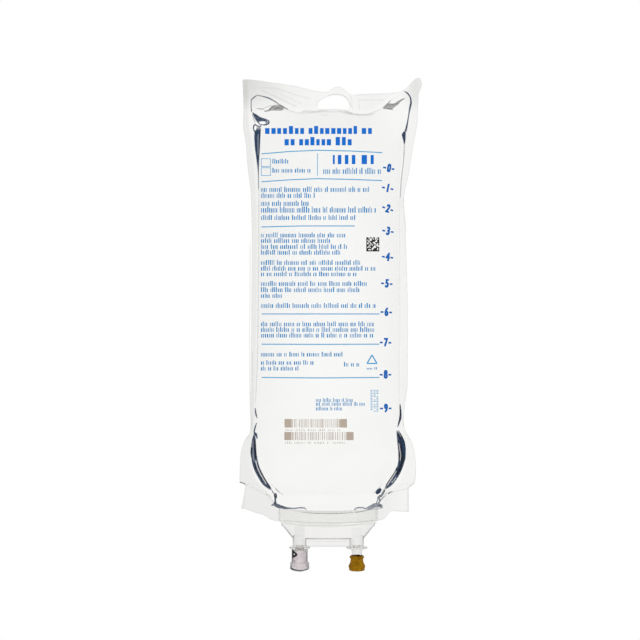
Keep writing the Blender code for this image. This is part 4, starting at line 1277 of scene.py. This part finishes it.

# Outlines of the moulding in painted shade: slanting ends and foot of the keel, boat's lower edge,
# tubes and sheet
mouldingLines = (
    line(0.55, (0.9, 1.2, 1.2, 1), 281, 523.4, 285.6, 528.8, 290.8, 535.4, 292.8, 538),
    line(0.5, (0.9, 1.2, 1.2, 1), 375.4, 523.2, 371.4, 528.2, 366, 535, 363.6, 538),
    band(0.1, (294.2, 525.5, 294.2, 546.4), (304.8, 525.5, 304.8, 546.4)),
    band(0.05, (351.4, 527.5, 351.4, 546.4), (361.8, 527.5, 361.8, 546.4)),
    line(0.36, 1, 293, 537.6, 293, 546.6),
    line(0.34, 1, 363, 537.6, 363, 546.6),
    line(0.4, 1, 305.8, 538, 305.8, 546.6),
    line(0.38, 1, 349.8, 538, 349.8, 546.6),
    line(0.46, (1.2, 1.1, 1.1, 1.2), 305.4, 538.4, 320, 538.7, 336, 538.7, 350, 538.4),
    line(0.22, 1, 279.4, 520, 290, 521, 308, 522.4, 330, 522.8, 352, 522.4, 370, 521, 380, 519.8),
    line(0.2, 0.9, 279.6, 523.2, 292, 524.4, 310, 525.5, 330, 525.8, 350, 525.4, 368, 524, 380, 522.6),
    line(0.14, 0.8, 279, 506.4, 279, 519.6),
    line(0.14, 0.8, 375.8, 508.6, 376, 518.8),
    line(0.3, (1.3, 1.2, 1.3), 307, 546.2, 328, 546.3, 349, 546.2),
    line(0.1, 0.8, 307.6, 541.2, 328, 541.4, 348.6, 541.2),
)
marksPiece("mouldingLines", mouldingLines, "grey", lifts["grey"], surface=mouldingY, slot="moulding")


# On the cap, painted light and shade: a black arrow-like patch of painted shade with a painted
# highlight dot at its left, thin outlines and a dark foot of painted shade
capDarkShade = (
    band(0.97, (291.7, 549.4, 292.3, 551.6, 292.2, 554.4, 292.4, 556.4, 291.9, 558.3), (292.6, 549.8,
         295.2, 552.4, 297.1, 554.3, 295.4, 556.6, 292.9, 557.8)),
)
capHighlightDot = (
    band(0.9, (293.9, 553.8, 293.9, 554.9), (294.8, 553.8, 294.8, 554.9)),
)
capLines = (
    line(0.55, (1.2, 1.2, 1), 292.2, 558, 292.3, 562, 292.2, 566),
    line(0.3, 0.9, 306.9, 549, 306.8, 557, 306.8, 565),
    line(0.3, (0.8, 0.9, 0.9, 0.9, 0.8), 294.6, 560, 295, 564.6, 297, 566.6, 301.6, 566.8, 304.2, 565),
    line(0.12, (0.7, 0.8, 0.7), 297, 552.6, 301, 556, 305, 559),
    line(0.12, (0.7, 0.8, 0.7), 305, 552.6, 301, 556, 297, 559.6),
)
capSkirtLines = (
    line(0.8, (1, 1.8, 1.8, 1.9, 1.3, 1), 290.4, 567, 291.4, 568.8, 295, 570.2, 300, 570.8, 305, 570.1,
         308, 569.2),
    line(0.6, (1, 1.1, 1), 292, 565.4, 290.8, 567.4, 290.6, 569),
    line(0.45, (0.9, 1, 0.9), 306.8, 565, 308.2, 567.2, 308.8, 569.4),
)
capSide, capFoot = roundY(portCentres[0], cap["radius"]), roundY(portCentres[0], cap["foot"])
for name, marks, finish, height, surface in (
        ("capDarkShade", capDarkShade, "black", "core", capSide), ("capHighlightDot", capHighlightDot, "light", "dot", capSide),
        ("capLines", capLines, "grey", "dark", capSide),
        ("capSkirtLines", capSkirtLines, "core", "dark", capFoot)):
    marksPiece(name, marks, finish, lifts[height], surface=surface, body="protector", slot="protector")
print("scene: folds and dark marks laid")

# Camera, light and surroundings
camera = bpy.data.cameras.new("camera")
camera.sensor_fit = "HORIZONTAL"
camera.angle = 2 * math.atan(viewpoint["widthAtSlot"] / 2 / -viewpoint["y"])
scene.camera = placed("camera", camera)
scene.camera.location = (viewpoint["x"], viewpoint["y"], viewpoint["z"])
scene.camera.rotation_euler = (math.pi / 2, 0, 0)
scene.view_settings.view_transform = "Standard"


# White all round for the lens; for other rays a little darker toward the four corners of the room
studio = {"wall": (1, 1, 1), "corner": (0.90, 0.905, 0.91), "places": (0.25, 0.5)}


def makeWorld():
    world = bpy.data.worlds.new("studio")
    world.use_nodes = True
    scene.world = world
    tree = world.node_tree
    background = tree.nodes["Background"]
    background.inputs["Strength"].default_value = 1.0
    parts = addNode(tree, "SeparateXYZ")
    product = addNode(tree, "Math", operation="MULTIPLY")
    size = addNode(tree, "Math", operation="ABSOLUTE")
    ramp = colourRamp(tree, (studio["wall"], studio["corner"]), studio["places"])
    choose = addNode(tree, "Mix", {"B": (1, 1, 1, 1)}, data_type="RGBA")
    join(tree, addNode(tree, "TexCoord"), "Generated", parts, "Vector")
    join(tree, parts, "X", product, 0)
    join(tree, parts, "Y", product, 1)
    join(tree, product, "Value", size, 0)
    join(tree, size, "Value", ramp, "Fac")
    join(tree, addNode(tree, "LightPath"), "Is Camera Ray", choose, "Factor")
    join(tree, ramp, "Color", choose, "A")
    join(tree, choose, "Result", background, "Color")


# Two soft round lamps that light the bag and aren't seen in it or through it
lampTarget = (0, 0, -0.17)
lamps = {
    "keyLight": {"place": (-0.7, -0.9, 0.5), "size": 0.5, "power": 3.0},
    "fillLight": {"place": (0.8, -0.7, 0.1), "size": 0.6, "power": 1.5},
}


def makeLamp(name, place, size, power):
    light = bpy.data.lights.new(name, "AREA")
    light.shape = "DISK"
    light.size = size
    light.energy = power
    lamp = placed(name, light)
    lamp.location = place
    lamp.visible_glossy = lamp.visible_transmission = False
    lamp.rotation_euler = (Vector(lampTarget) - Vector(place)).to_track_quat("-Z", "Y").to_euler()


# Round pale floor under the bag
ground = {"radius": 0.55, "height": -0.62, "corners": 48, "colour": (0.93, 0.93, 0.93)}


def makeFloor():
    turn = np.arange(ground["corners"]) * 2 * np.pi / ground["corners"]
    ring = np.stack((ground["radius"] * np.cos(turn), ground["radius"] * np.sin(turn),
                     np.full(ground["corners"], ground["height"])), axis=1)
    material, _, shader = shaderOf("paleFloor")
    setShader(shader, Base_Color=ground["colour"], Roughness=0.7)
    made = placed("floor", meshOf("floor", ring, [list(range(ground["corners"]))]))
    made.data.materials.append(material)


makeWorld()
for name, lamp in lamps.items():
    makeLamp(name, **lamp)
makeFloor()
print("scene: camera, light and floor set")
